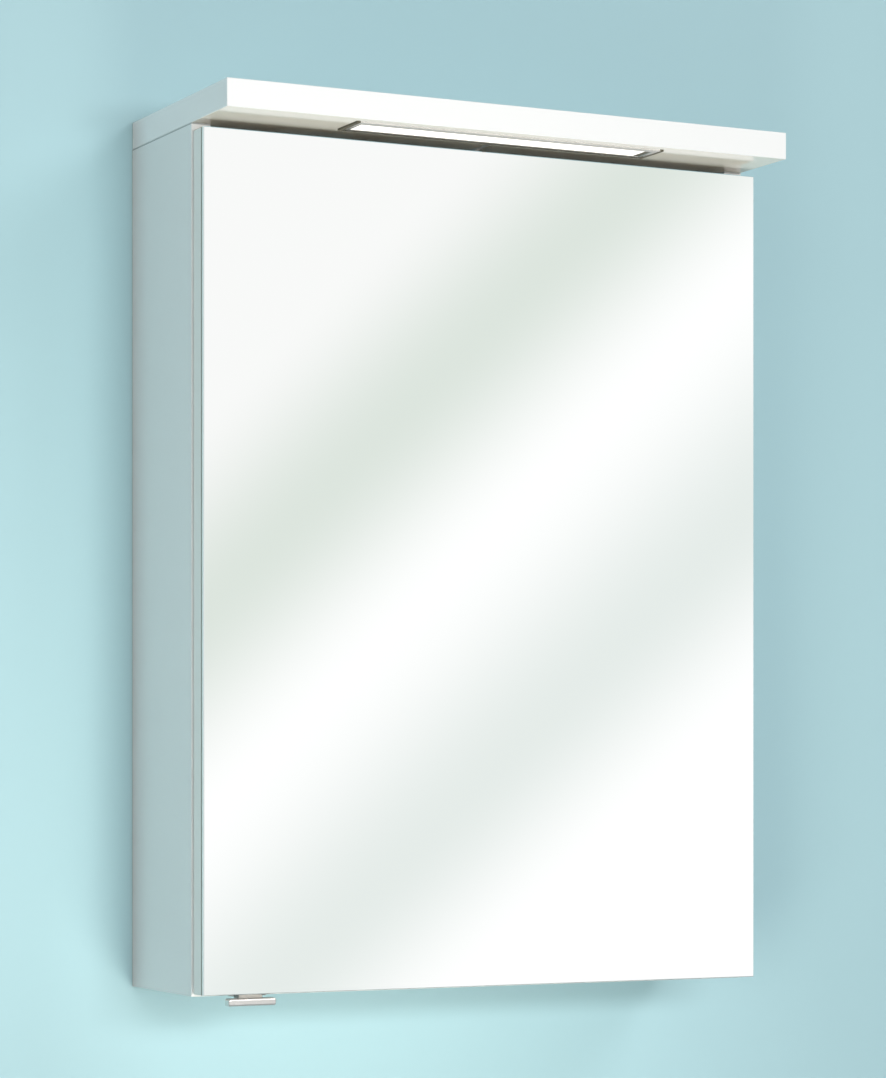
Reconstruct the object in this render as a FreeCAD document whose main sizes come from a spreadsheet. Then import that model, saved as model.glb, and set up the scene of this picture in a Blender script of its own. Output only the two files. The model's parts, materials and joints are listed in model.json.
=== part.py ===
import FreeCAD, Part
import math
import os
from types import SimpleNamespace

import Sketcher

# Wall-hung bathroom mirror cabinet: white board carcass, projecting cornice with a lamp, one hinged mirror door.
# The origin is on the wall, at mid width and at the underside of the bottom board. The front faces -Y.

SIZES = {
    # Carcass, cornice and back
    "cabinet_width": 500.0,
    "cabinet_height": 703.0,
    "body_depth": 128.0,
    "board": 16.0,
    "cornice_thickness": 22.0,
    "cornice_rounding": 0.8,
    "compartment_height": 32.0,
    "back_thickness": 3.0,
    "back_inset": 10.0,
    "groove_depth": 5.0,
    "groove_clearance": 0.15,
    "bore_overrun": 1.0,
    # Board fittings
    "fitting_front_line": 37.0,
    "fitting_rear_line": 37.0,
    "cam_radius": 7.5,
    "cam_depth": 12.5,
    "cam_clearance": 0.1,
    "cam_reach": 34.0,
    "cam_drop": 24.0,
    "cam_slot_width": 1.2,
    "cam_slot_depth": 2.5,
    "bolt_radius": 3.0,
    "bolt_bore_clearance": 0.6,
    "bolt_thread_radius": 2.5,
    "bolt_thread_length": 10.0,
    "bolt_head_gap": 4.0,
    "fit_clearance": 0.05,
    "dowel_radius": 4.0,
    "dowel_short_end": 10.0,
    "dowel_long_end": 20.0,
    # Glass shelves and their pins
    "shelf_thickness": 5.0,
    "shelf_side_gap": 1.0,
    "shelf_front_setback": 13.0,
    "shelf_back_gap": 2.0,
    "pin_radius": 2.5,
    "pin_hole_depth": 9.0,
    "pin_reach": 8.0,
    "pin_pad_width": 8.0,
    "pin_pad_thickness": 2.0,
    "pin_row_pitch": 32.0,
    "pin_row_first": 142.0,
    "pin_rows_top_drop": 100.0,
    # Door
    "door_gap": 2.0,
    "door_reveal": 1.0,
    "door_top_gap": 6.5,
    "door_bottom_rise": 2.0,
    "glass_thickness": 4.0,
    "glass_bevel": 0.6,
    "film_thickness": 1.0,
    "film_inset": 5.0,
    "bumper_radius": 4.0,
    "bumper_thickness": 1.8,
    "bumper_inset": 18.0,
    # Handle below the door
    "handle_width": 40.5,
    "handle_height": 6.0,
    "handle_bar_depth": 9.0,
    "handle_gap": 3.3,
    "handle_edge_distance": 22.7,
    "handle_front_setback": 2.0,
    "handle_neck_width": 20.0,
    "handle_plate_width": 35.0,
    "handle_plate_depth": 7.0,
    "handle_plate_thickness": 1.0,
    "handle_rounding": 1.6,
    "handle_screw_spacing": 27.0,
    "handle_screw_radius": 1.5,
    "handle_screw_head_radius": 2.7,
    "handle_screw_length": 14.0,
    # Concealed hinges
    "upper_hinge_drop": 120.5,
    "lower_hinge_rise": 95.0,
    "cup_radius": 17.5,
    "cup_wall": 1.0,
    "cup_depth": 12.0,
    "cup_edge_distance": 3.0,
    "cup_clearance": 0.1,
    "flange_thickness": 0.8,
    "flange_width": 14.0,
    "flange_height": 58.0,
    "flange_screw_offset": 6.0,
    "flange_screw_spacing": 48.0,
    "flange_rim": 1.0,
    "wood_screw_radius": 1.9,
    "wood_screw_length": 11.0,
    "wood_screw_head_radius": 3.4,
    "wood_screw_head_height": 1.4,
    "link_pin_radius": 1.2,
    "link_pin_clearance": 0.05,
    "cup_pin_wall_gap": 5.4,
    "link_half_width": 1.7,
    "link_eye_radius": 2.7,
    "outer_arm_pivot_in": 9.6,
    "outer_arm_pivot_back": 11.3,
    "outer_cup_pivot_edge": 9.0,
    "outer_cup_pivot_depth": 5.0,
    "inner_arm_pivot_in": 21.5,
    "inner_arm_pivot_back": 2.1,
    "inner_cup_pivot_edge": 13.6,
    "inner_cup_pivot_depth": 5.7,
    "inner_open_eye_radius": 2.75,
    "inner_open_eye_wall": 1.15,
    "inner_link_half_thickness": 3.0,
    "lug_half_width": 1.9,
    "lug_gap": 0.4,
    "lug_thickness": 1.2,
    "cheek_gap": 0.6,
    "cheek_thickness": 1.2,
    "arm_gap": 0.6,
    "arm_wall": 1.2,
    "arm_half_width": 2.8,
    "arm_rib_height": 11.5,
    "arm_rib_front": 26.0,
    "arm_length": 54.0,
    "arm_wall_depth": 7.5,
    "pin_head_length": 0.4,
    "plate_thickness": 1.6,
    "plate_width": 16.0,
    "plate_height": 48.0,
    "plate_screw_spacing": 32.0,
    "plate_rib_clearance": 0.5,
    "arm_screw_radius": 2.4,
    "arm_screw_length": 7.0,
    "arm_screw_head_radius": 3.6,
    "arm_screw_head_height": 1.6,
    "arm_screw_setback": 10.0,
    # Cabinet hangers
    "hanger_width": 20.0,
    "hanger_depth": 60.0,
    "hanger_height": 50.0,
    "hanger_wall": 2.0,
    "hanger_back_gap": 0.2,
    "hook_thickness": 2.5,
    "hook_height": 16.0,
    "hook_length": 46.0,
    "hook_wall_gap": 3.0,
    "hook_tip_thickness": 4.0,
    "hook_tip_drop": 9.0,
    "hook_travel": 4.0,
    "hook_slot_margin": 1.5,
    "adjuster_radius": 2.5,
    "adjuster_head_radius": 4.0,
    "adjuster_head_height": 2.0,
    "adjuster_gap": 0.3,
    # Lamp in the cornice
    "lamp_length": 275.0,
    "lamp_width": 36.5,
    "lamp_door_gap": 4.5,
    "lamp_front_setback": 8.0,
    "lamp_flange": 1.5,
    "lamp_tray_inset": 2.5,
    "lamp_tray_height": 10.0,
    "lamp_tray_top": 1.0,
    "lamp_pocket_clearance": 0.3,
    "lamp_window_margin": 7.0,
    "diffuser_clearance": 0.2,
    "diffuser_thickness": 3.0,
    "diffuser_recess": 0.3,
    "led_board_gap": 2.7,
    "led_board_width": 12.0,
    "led_board_thickness": 1.6,
    "led_size": 3.0,
    "led_height": 0.8,
    "led_end_distance": 9.0,
    "lamp_screw_inset": 18.0,
    "lamp_screw_radius": 1.6,
    "lamp_screw_length": 8.0,
    "lamp_screw_head_radius": 2.8,
    "lamp_screw_head_height": 1.2,
    # Leads, driver and junction box in the compartment
    "lead_radius": 1.7,
    "lead_bore_radius": 2.2,
    "lead_bore_end_distance": 27.0,
    "lead_channel_width": 6.0,
    "lead_channel_depth": 8.0,
    "lead_channel_length": 28.0,
    "lead_lamp_height": 5.0,
    "lead_fall_end": 18.0,
    "driver_length": 120.0,
    "driver_depth": 42.0,
    "driver_height": 21.0,
    "driver_setback": 38.0,
    "driver_rounding": 1.5,
    "driver_entry_height": 11.0,
    "box_length": 60.0,
    "box_depth": 42.0,
    "box_height": 20.0,
    "box_gap": 30.0,
    "box_wall": 2.0,
    "box_lid": 2.0,
    "terminal_length": 30.0,
    "terminal_depth": 16.0,
    "terminal_height": 12.0,
    "terminal_screw_radius": 1.6,
    "terminal_screw_depth": 3.0,
    "terminal_pitch": 9.0,
    "grommet_radius": 8.0,
    "grommet_bore": 4.5,
    "grommet_clearance": 0.1,
    "grommet_flange_radius": 10.5,
    "grommet_flange": 2.0,
    # Switch and socket unit under the top board
    "unit_length": 115.0,
    "unit_depth": 47.0,
    "unit_height": 60.0,
    "unit_hanger_gap": 6.0,
    "unit_back_gap": 3.0,
    "unit_wall": 2.0,
    "face_thickness": 3.0,
    "face_rounding": 1.0,
    "socket_radius": 20.0,
    "socket_wall": 1.0,
    "socket_recess": 17.5,
    "socket_depth": 38.0,
    "socket_clearance": 0.1,
    "socket_edge_distance": 34.0,
    "contact_radius": 2.5,
    "contact_depth": 18.0,
    "contact_spacing": 19.0,
    "earth_width": 4.0,
    "earth_length": 12.0,
    "earth_thickness": 0.8,
    "earth_gap": 0.2,
    "rocker_width": 20.6,
    "rocker_height": 27.6,
    "rocker_opening_gap": 0.7,
    "rocker_opening_end_gap": 1.2,
    "rocker_edge_distance": 26.0,
    "rocker_axis_setback": 4.0,
    "rocker_front_rise": 9.5,
    "rocker_middle_rise": 8.0,
    "rocker_back": 2.0,
    "rocker_pin_radius": 1.5,
    "rocker_pin_clearance": 0.06,
    "rocker_lug_gap": 0.5,
    "rocker_lug_thickness": 2.0,
    "rocker_lug_reach": 4.0,
    "unit_screw_radius": 1.6,
    "unit_screw_length": 9.0,
    "unit_screw_head_radius": 3.0,
    "unit_screw_head_height": 1.2,
    "unit_screw_inset": 12.0,
}

ANGLES = {
    "rocker_tilt": 6.0,
}

LED_COUNT = 16
TERMINAL_SCREWS = 3

# How much of an edge's direction lies along an axis that it is taken to run along
PARALLEL_SHARE = 0.999
# How much of the shorter of two straight runs a bend of the lamp's lead takes up
BEND_RUN_SHARE = 0.45

# How far up the height under the top board the pins of each shelf stand, before they move to the next row
SHELF_HEIGHT_SHARES = {"lower_glass_shelf": 0.325, "upper_glass_shelf": 0.68}

# The bends of the hooked link, as shares of the way from its arm pivot to its cup pivot, sideways and forwards
OUTER_LINK_BEND_SHARES = ((0.105, 0.640), (0.262, 1.140), (0.680, 1.185))
INNER_LINK_BEND_SHARES = ((0.655, 0.918),)

doc = FreeCAD.newDocument("mirror_cabinet")
sheet = doc.addObject("Spreadsheet::Sheet", "Sizes")
for row, (alias, value) in enumerate({**SIZES, **ANGLES}.items(), start=1):
    sheet.set(f"A{row}", alias)
    sheet.set(f"B{row}", str(value))
    sheet.setAlias(f"B{row}", alias)
doc.recompute()


class Size:
    """A length, held as its number and as the expression that works it out from the sheet."""

    def __init__(self, value, text):
        self.value = value
        self.text = text

    def __add__(self, other):
        return Size(self.value + other.value, f"({self.text} + {other.text})")

    def __sub__(self, other):
        return Size(self.value - other.value, f"({self.text} - {other.text})")

    def __mul__(self, share):
        return Size(self.value * share, f"({self.text} * {share})")

    def __truediv__(self, share):
        return Size(self.value / share, f"({self.text} / {share})")

    def __neg__(self):
        return Size(-self.value, f"(0 - {self.text})")


zero = Size(0.0, "0")
s = SimpleNamespace(**{alias: Size(value, "Sizes." + alias) for alias, value in {**SIZES, **ANGLES}.items()})
AXIS_TURNS = {
    "X": FreeCAD.Rotation(FreeCAD.Vector(0, 1, 0), 90),
    "Y": FreeCAD.Rotation(FreeCAD.Vector(1, 0, 0), -90),
    "Z": FreeCAD.Rotation(),
}
nodes = []
counter = {"made": 0}


# Building blocks


def new(kind, word):
    counter["made"] += 1
    return doc.addObject(kind, f"{word}_{counter['made']}")


def place(thing, at):
    for letter, size in zip("xyz", at):
        thing.setExpression(f"Placement.Base.{letter}", size.text)
    return thing


def node(label, thing):
    thing.Label = label
    nodes.append(thing)
    return thing


def box(low, extent):
    thing = new("Part::Box", "Box")
    for name, size in zip(("Length", "Width", "Height"), extent):
        thing.setExpression(name, size.text)
    return place(thing, low)


def rod(start, axis, radius, length):
    """A round bar from its start point along a positive axis."""
    thing = new("Part::Cylinder", "Rod")
    thing.Placement = FreeCAD.Placement(FreeCAD.Vector(), AXIS_TURNS[axis])
    thing.setExpression("Radius", radius.text)
    thing.setExpression("Height", length.text)
    return place(thing, start)


def gather(things):
    thing = new("Part::Compound", "Group")
    thing.Links = things
    return thing


def fuse(things):
    thing = new("Part::MultiFuse", "Union")
    thing.Shapes = things
    return thing


def cut(base, tools):
    thing = new("Part::Cut", "Cut")
    thing.Base = base
    thing.Tool = tools[0] if len(tools) == 1 else fuse(tools)
    return thing


def rectangle(low_x, low_y, wide, tall):
    return [(low_x, low_y), (low_x + wide, low_y), (low_x + wide, low_y + tall), (low_x, low_y + tall)]


def new_sketch(body, role):
    sketch = body.newObject("Sketcher::SketchObject", body.Name + "_Sketch")
    sketch.AttachmentSupport = [(next(f for f in body.Origin.OriginFeatures if f.Role == role), "")]
    sketch.MapMode = "FlatFace"
    return sketch


def pin_down(sketch, geometry, vertex, point):
    """Fixes a point of the sketch at its distances from the sketch's own origin."""
    for kind, letter, size in zip(("DistanceX", "DistanceY"), "xy", point):
        name = f"g{geometry}{letter}"
        index = sketch.addConstraint(Sketcher.Constraint(kind, -1, 1, geometry, vertex, size.value))
        sketch.renameConstraint(index, name)
        sketch.setExpression(f"Constraints.{name}", size.text)


def draw_outline(sketch, points):
    first = sketch.GeometryCount
    count = len(points)
    corners = [FreeCAD.Vector(x.value, y.value, 0) for x, y in points]
    for index in range(count):
        sketch.addGeometry(Part.LineSegment(corners[index], corners[(index + 1) % count]), False)
    for index in range(count):
        following = first + (index + 1) % count
        sketch.addConstraint(Sketcher.Constraint("Coincident", first + index, 2, following, 1))
    for index, point in enumerate(points):
        pin_down(sketch, first + index, 1, point)


def draw_circle(sketch, centre, radius):
    middle = FreeCAD.Vector(centre[0].value, centre[1].value, 0)
    circle = sketch.addGeometry(Part.Circle(middle, FreeCAD.Vector(0, 0, 1), radius.value), False)
    pin_down(sketch, circle, 3, centre)
    index = sketch.addConstraint(Sketcher.Constraint("Radius", circle, radius.value))
    sketch.renameConstraint(index, f"g{circle}r")
    sketch.setExpression(f"Constraints.g{circle}r", radius.text)


def plate(role, outline, thickness, at=(zero, zero, zero), holes=(), openings=()):
    """A flat body: an outline on one of its own planes, with openings and round holes, padded to a thickness."""
    body = new("PartDesign::Body", "Plate")
    sketch = new_sketch(body, role)
    draw_outline(sketch, outline)
    for opening in openings:
        draw_outline(sketch, opening)
    for centre, radius in holes:
        draw_circle(sketch, centre, radius)
    pad = body.newObject("PartDesign::Pad", body.Name + "_Pad")
    pad.Profile = sketch
    pad.setExpression("Length", thickness.text)
    return place(body, at)


def break_edges(body, kind, edge_test, amount):
    """Rounds or bevels the edges of a body that pass a test."""
    doc.recompute()
    base = body.Tip
    names = [f"Edge{index}" for index, edge in enumerate(base.Shape.Edges, start=1) if edge_test(edge)]
    feature = body.newObject("PartDesign::" + kind, f"{body.Name}_{kind}")
    feature.Base = (base, names)
    feature.setExpression("Radius" if kind == "Fillet" else "Size", amount.text)
    return feature


def runs_along(edge, letter):
    if edge.Curve.TypeId != "Part::GeomLine":
        return False
    return abs(getattr(edge.tangentAt(edge.FirstParameter), letter)) > PARALLEL_SHARE


def bar(start, end, half_width, low, thickness):
    """A straight bar between two points of the plan, as wide as two half widths."""
    along_x = end[0] - start[0]
    along_y = end[1] - start[1]
    length = Size(math.hypot(along_x.value, along_y.value), f"hypot({along_x.text}; {along_y.text})")
    body = plate("XY_Plane", rectangle(zero, -half_width, length, half_width * 2), thickness)
    body.Placement = FreeCAD.Placement(FreeCAD.Vector(), FreeCAD.Rotation(FreeCAD.Vector(0, 0, 1), 1))
    body.setExpression("Placement.Rotation.Angle", f"atan2({along_y.text}; {along_x.text})")
    return place(body, (start[0], start[1], low))


def chain(points, half_width, low, thickness):
    """Straight bars from point to point of the plan, with a disc at each bend."""
    pieces = [bar(a, b, half_width, low, thickness) for a, b in zip(points, points[1:])]
    pieces += [rod((x, y, low), "Z", half_width, thickness) for x, y in points[1:-1]]
    return pieces


def screw(tip, axis, radius, length, head_radius, head_height, head_at_end=True):
    """A screw along an axis, its head on one end."""
    offsets = {"X": (1, 0, 0), "Y": (0, 1, 0), "Z": (0, 0, 1)}[axis]
    shank = rod(tip, axis, radius, length)
    step = length if head_at_end else -head_height
    at = tuple(coordinate + step * share for coordinate, share in zip(tip, offsets))
    return fuse([shank, rod(at, axis, head_radius, head_height)])


# Planes that the pieces share

half_width = s.cabinet_width / 2
inner_half = half_width - s.board
side_height = s.cabinet_height - s.cornice_thickness
top_board_low = side_height - s.compartment_height - s.board
compartment_low = top_board_low + s.board
front_line = s.fitting_front_line - s.body_depth
rear_line = -s.fitting_rear_line
middle_line = (front_line + rear_line) / 2
groove_back = -s.back_inset + s.groove_clearance
groove_width = s.back_thickness + s.groove_clearance * 2
groove_front = groove_back - groove_width
back_front_face = -s.back_inset - s.back_thickness
door_back = -s.body_depth - s.door_gap
door_low = s.door_bottom_rise
door_high = side_height - s.door_top_gap
door_height = door_high - door_low
door_half = half_width - s.door_reveal
board_front = door_back - s.board
glass_back = board_front - s.film_thickness
glass_front = glass_back - s.glass_thickness
hinge_heights = {"upper": door_high - s.upper_hinge_drop, "lower": door_low + s.lower_hinge_rise}
board_middles = {"top": top_board_low + s.board / 2, "bottom": s.board / 2}
cam_height = side_height - s.cam_drop


# Cabinet sides: upright boards with a groove for the back and rows of shelf holes


def rows_below(height):
    """How many row pitches lie between the first row of holes and a height."""
    return (height - s.pin_row_first).value / s.pin_row_pitch.value


def pin_row_height(row):
    return s.pin_row_first + s.pin_row_pitch * row


pin_rows = int(rows_below(top_board_low - s.pin_rows_top_drop)) + 1


def side_panel(label, side):
    inner_face = inner_half * side
    outer_face = half_width * side
    low_x = outer_face if side < 0 else inner_face
    board = box((low_x, -s.body_depth, zero), (s.board, s.body_depth, side_height))

    def inner_bore(y, z, radius, depth):
        start = inner_face - (depth if side < 0 else s.bore_overrun)
        return rod((start, y, z), "X", radius, depth + s.bore_overrun)

    groove_x = inner_face - (s.groove_depth if side < 0 else s.bore_overrun)
    groove_low = s.board - s.groove_depth
    groove_top = top_board_low + s.groove_depth
    tools = [
        box(
            (groove_x, groove_front, groove_low),
            (s.groove_depth + s.bore_overrun, groove_width, groove_top - groove_low),
        )
    ]
    for row in range(pin_rows):
        for line in (front_line, rear_line):
            tools.append(inner_bore(line, pin_row_height(row), s.pin_radius + s.fit_clearance, s.pin_hole_depth))
    for middle in board_middles.values():
        for line in (front_line, rear_line):
            tools.append(inner_bore(line, middle, s.bolt_thread_radius + s.fit_clearance, s.bolt_thread_length))
        tools.append(inner_bore(middle_line, middle, s.dowel_radius + s.fit_clearance, s.dowel_short_end))
    middle_x = (inner_half + s.board / 2) * side
    for line in (front_line, rear_line):
        tools.append(inner_bore(line, cam_height, s.cam_radius + s.cam_clearance, s.cam_depth))
        tools.append(
            rod((middle_x, line, cam_height), "Z", s.bolt_radius + s.bolt_bore_clearance, s.cam_drop + s.bore_overrun)
        )
    tools.append(
        rod(
            (middle_x, middle_line, side_height - s.dowel_long_end),
            "Z",
            s.dowel_radius + s.fit_clearance,
            s.dowel_long_end + s.bore_overrun,
        )
    )
    for height in (hanger_screw_low, hanger_screw_high):
        tools.append(inner_bore(hanger_screw_line, height, s.wood_screw_radius + s.fit_clearance, s.wood_screw_length))
    if side > 0:
        for height in hinge_heights.values():
            for step in (-1, 1):
                at = height + s.plate_screw_spacing / 2 * step
                tools.append(inner_bore(front_line, at, s.wood_screw_radius + s.fit_clearance, s.wood_screw_length))
    return node(label, cut(board, tools))


hanger_front = back_front_face - s.hanger_back_gap - s.hanger_depth
hanger_low = top_board_low - s.hanger_height
hanger_screw_line = hanger_front + s.hanger_depth / 4
hanger_screw_low = hanger_low + s.hanger_height / 4
hanger_screw_high = hanger_low + s.hanger_height * 3 / 4
side_panel("left_side_panel", -1)
side_panel("right_side_panel", 1)


# Top and bottom boards: held between the sides by dowels and cam fittings


def cross_board(label, low_z, cams_from_below, groove_low, more_tools):
    middle = low_z + s.board / 2
    board = box((-inner_half, -s.body_depth, low_z), (inner_half * 2, s.body_depth, s.board))
    cam_low = low_z - s.bore_overrun if cams_from_below else low_z + s.board - s.cam_depth
    tools = [
        box(
            (-inner_half - s.bore_overrun, groove_front, groove_low),
            ((inner_half + s.bore_overrun) * 2, groove_width, s.groove_depth + s.bore_overrun),
        )
    ]
    for side in (-1, 1):
        for line in (front_line, rear_line):
            cam_x = (inner_half - s.cam_reach) * side
            start = -inner_half - s.bore_overrun if side < 0 else cam_x
            tools.append(
                rod((cam_x, line, cam_low), "Z", s.cam_radius + s.cam_clearance, s.cam_depth + s.bore_overrun)
            )
            tools.append(
                rod((start, line, middle), "X", s.bolt_radius + s.bolt_bore_clearance, s.cam_reach + s.bore_overrun)
            )
        start = -inner_half - s.bore_overrun if side < 0 else inner_half - s.dowel_long_end
        tools.append(
            rod(
                (start, middle_line, middle),
                "X",
                s.dowel_radius + s.fit_clearance,
                s.dowel_long_end + s.bore_overrun,
            )
        )
    return node(label, cut(board, tools + more_tools))


unit_left = -inner_half + s.hanger_width + s.unit_hanger_gap
unit_back = back_front_face - s.unit_back_gap
unit_front = unit_back - s.unit_depth
unit_low = top_board_low - s.unit_height
lead_bore_x = unit_left + s.unit_length - s.lead_bore_end_distance
box_left = lead_bore_x - s.box_length / 2
box_right = box_left + s.box_length
driver_left = box_right + s.box_gap
driver_front = -s.body_depth + s.driver_setback
lead_hole = (lead_bore_x, unit_back - s.unit_depth / 2)
unit_screw_places = [
    (unit_left + s.unit_screw_inset, unit_front + s.unit_screw_inset),
    (unit_left + s.unit_length - s.unit_screw_inset, unit_front + s.unit_screw_inset),
]
unit_screw_holes = [
    rod(
        (x, y, top_board_low - s.bore_overrun),
        "Z",
        s.unit_screw_radius + s.fit_clearance,
        s.unit_screw_length + s.bore_overrun,
    )
    for x, y in unit_screw_places
]
lead_bore = rod(
    (lead_hole[0], lead_hole[1], top_board_low - s.bore_overrun),
    "Z",
    s.lead_bore_radius,
    s.board + s.bore_overrun * 2,
)
cross_board("top_board", top_board_low, False, top_board_low - s.bore_overrun, unit_screw_holes + [lead_bore])
cross_board("bottom_board", zero, True, s.board - s.groove_depth, [])


# Rear rail: closes the compartment at the wall, with the hole for the mains cable

grommet_x = lead_bore_x
grommet_z = compartment_low + s.compartment_height / 2
rail = box((-inner_half, -s.board, compartment_low), (inner_half * 2, s.board, s.compartment_height))
rail_hole = rod(
    (grommet_x, -s.board - s.bore_overrun, grommet_z),
    "Y",
    s.grommet_radius + s.grommet_clearance,
    s.board + s.bore_overrun * 2,
)
node("rear_rail", cut(rail, [rail_hole]))


# Back panel: thin sheet in the grooves, with a slot for each hanger hook

back_low = s.board - s.groove_depth + s.groove_clearance
back_high = top_board_low + s.groove_depth - s.groove_clearance
back_half = inner_half + s.groove_depth - s.groove_clearance
hook_middle = inner_half - s.hanger_width / 2
hook_low = hanger_low + s.hanger_height / 2 - s.hook_height / 2
hook_slot_low = hook_low - s.hook_tip_drop - s.hook_travel - s.hook_slot_margin
hook_slot_height = s.hook_height + s.hook_tip_drop + (s.hook_travel + s.hook_slot_margin) * 2
hook_slot_half = s.hook_thickness / 2 + s.hook_slot_margin
back = plate(
    "XZ_Plane",
    rectangle(-back_half, back_low, back_half * 2, back_high - back_low),
    s.back_thickness,
    (zero, -s.back_inset, zero),
    openings=[
        rectangle(hook_middle * side - hook_slot_half, hook_slot_low, hook_slot_half * 2, hook_slot_height)
        for side in (-1, 1)
    ],
)
node("back_panel", back)


# Cornice: thick board over the cabinet, its front part overhanging the door, with a pocket for the lamp

lamp_back = glass_front - s.lamp_door_gap
lamp_front = lamp_back - s.lamp_width
cornice_front = lamp_front - s.lamp_front_setback
tray_front = lamp_front + s.lamp_tray_inset
tray_depth = s.lamp_width - s.lamp_tray_inset * 2
tray_half = s.lamp_length / 2 - s.lamp_tray_inset
tray_top = side_height + s.lamp_tray_height
cornice = plate(
    "XY_Plane",
    rectangle(-half_width, cornice_front, s.cabinet_width, -cornice_front),
    s.cornice_thickness,
    (zero, zero, side_height),
)
break_edges(
    cornice,
    "Fillet",
    lambda edge: min(vertex.Y for vertex in edge.Vertexes) < front_line.value or not runs_along(edge, "x"),
    s.cornice_rounding,
)
lamp_pocket = box(
    (
        -tray_half - s.lamp_pocket_clearance,
        tray_front - s.lamp_pocket_clearance,
        side_height - s.bore_overrun,
    ),
    (
        (tray_half + s.lamp_pocket_clearance) * 2,
        tray_depth + s.lamp_pocket_clearance * 2,
        s.lamp_tray_height + s.bore_overrun,
    ),
)
lead_channel = box(
    (-s.lead_channel_width / 2, tray_front + tray_depth - s.bore_overrun, side_height - s.bore_overrun),
    (
        s.lead_channel_width,
        -s.body_depth - tray_front - tray_depth + s.lead_channel_length,
        s.lead_channel_depth + s.bore_overrun,
    ),
)
cornice_tools = [lamp_pocket, lead_channel]
for side in (-1, 1):
    middle_x = (inner_half + s.board / 2) * side
    for line in (front_line, rear_line):
        cornice_tools.append(
            rod(
                (middle_x, line, side_height - s.bore_overrun),
                "Z",
                s.bolt_thread_radius + s.fit_clearance,
                s.bolt_thread_length + s.bore_overrun,
            )
        )
    cornice_tools.append(
        rod(
            (middle_x, middle_line, side_height - s.bore_overrun),
            "Z",
            s.dowel_radius + s.fit_clearance,
            s.dowel_short_end + s.bore_overrun,
        )
    )
lamp_screw_x = s.lamp_length / 2 - s.lamp_screw_inset
lamp_middle = lamp_front + s.lamp_width / 2
for side in (-1, 1):
    cornice_tools.append(
        rod(
            (lamp_screw_x * side, lamp_middle, tray_top - s.bore_overrun),
            "Z",
            s.lamp_screw_radius + s.fit_clearance,
            s.lamp_screw_length + s.bore_overrun,
        )
    )
node("cornice_board", cut(cornice, cornice_tools))


# Cams, bolts and dowels that hold the boards together

cams = []
bolts = []
dowels = []


def cam(centre, axis, low):
    """A cam disc with a hollow for the bolt's head and a screwdriver slot in its outer face."""
    x, y, z = centre
    hollow_half = s.bolt_radius + s.bolt_bore_clearance
    slot_half = s.cam_radius / 2
    if axis == "Z":
        disc = rod((x, y, low), "Z", s.cam_radius, s.cam_depth)
        at_bottom = low.value < z.value - s.cam_depth.value / 2
        slot_z = low - s.bore_overrun if at_bottom else low + s.cam_depth - s.cam_slot_depth
        slot = box(
            (x - slot_half, y - s.cam_slot_width / 2, slot_z),
            (slot_half * 2, s.cam_slot_width, s.cam_slot_depth + s.bore_overrun),
        )
        hollow = rod((x - s.cam_radius * 2, y, z), "X", hollow_half, s.cam_radius * 4)
    else:
        disc = rod((low, y, z), "X", s.cam_radius, s.cam_depth)
        slot_x = low + s.cam_depth - s.cam_slot_depth if low.value < 0 else low - s.bore_overrun
        slot = box(
            (slot_x, y - slot_half, z - s.cam_slot_width / 2),
            (s.cam_slot_depth + s.bore_overrun, slot_half * 2, s.cam_slot_width),
        )
        hollow = rod((x, y, z - s.cam_radius * 2), "Z", hollow_half, s.cam_radius * 4)
    return cut(disc, [hollow, slot])


bolt_shank = s.cam_reach - s.bolt_head_gap
for place_name, middle in board_middles.items():
    cam_low = zero if place_name == "bottom" else top_board_low + s.board - s.cam_depth
    for side in (-1, 1):
        cam_x = (inner_half - s.cam_reach) * side
        for line in (front_line, rear_line):
            cams.append(cam((cam_x, line, middle), "Z", cam_low))
            shank_x = -inner_half if side < 0 else inner_half - bolt_shank
            thread_x = -inner_half - s.bolt_thread_length if side < 0 else inner_half
            shank = rod((shank_x, line, middle), "X", s.bolt_radius, bolt_shank)
            thread = rod((thread_x, line, middle), "X", s.bolt_thread_radius, s.bolt_thread_length)
            bolts.append(fuse([shank, thread]))
        dowel_x = -inner_half - s.dowel_short_end if side < 0 else inner_half - s.dowel_long_end
        dowel_length = s.dowel_short_end + s.dowel_long_end
        dowels.append(rod((dowel_x, middle_line, middle), "X", s.dowel_radius, dowel_length))
for side in (-1, 1):
    middle_x = (inner_half + s.board / 2) * side
    cam_low = -inner_half - s.cam_depth if side < 0 else inner_half
    for line in (front_line, rear_line):
        cams.append(cam((middle_x, line, cam_height), "X", cam_low))
        shank = rod((middle_x, line, cam_height + s.bolt_head_gap), "Z", s.bolt_radius, s.cam_drop - s.bolt_head_gap)
        thread = rod((middle_x, line, side_height), "Z", s.bolt_thread_radius, s.bolt_thread_length)
        bolts.append(fuse([shank, thread]))
    dowels.append(rod((middle_x, middle_line, side_height - s.dowel_long_end), "Z", s.dowel_radius, dowel_length))
node("cam_locks", gather(cams))
node("cam_bolts", gather(bolts))
node("wood_dowels", gather(dowels))


# Glass shelves, each lying on four pins

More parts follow.
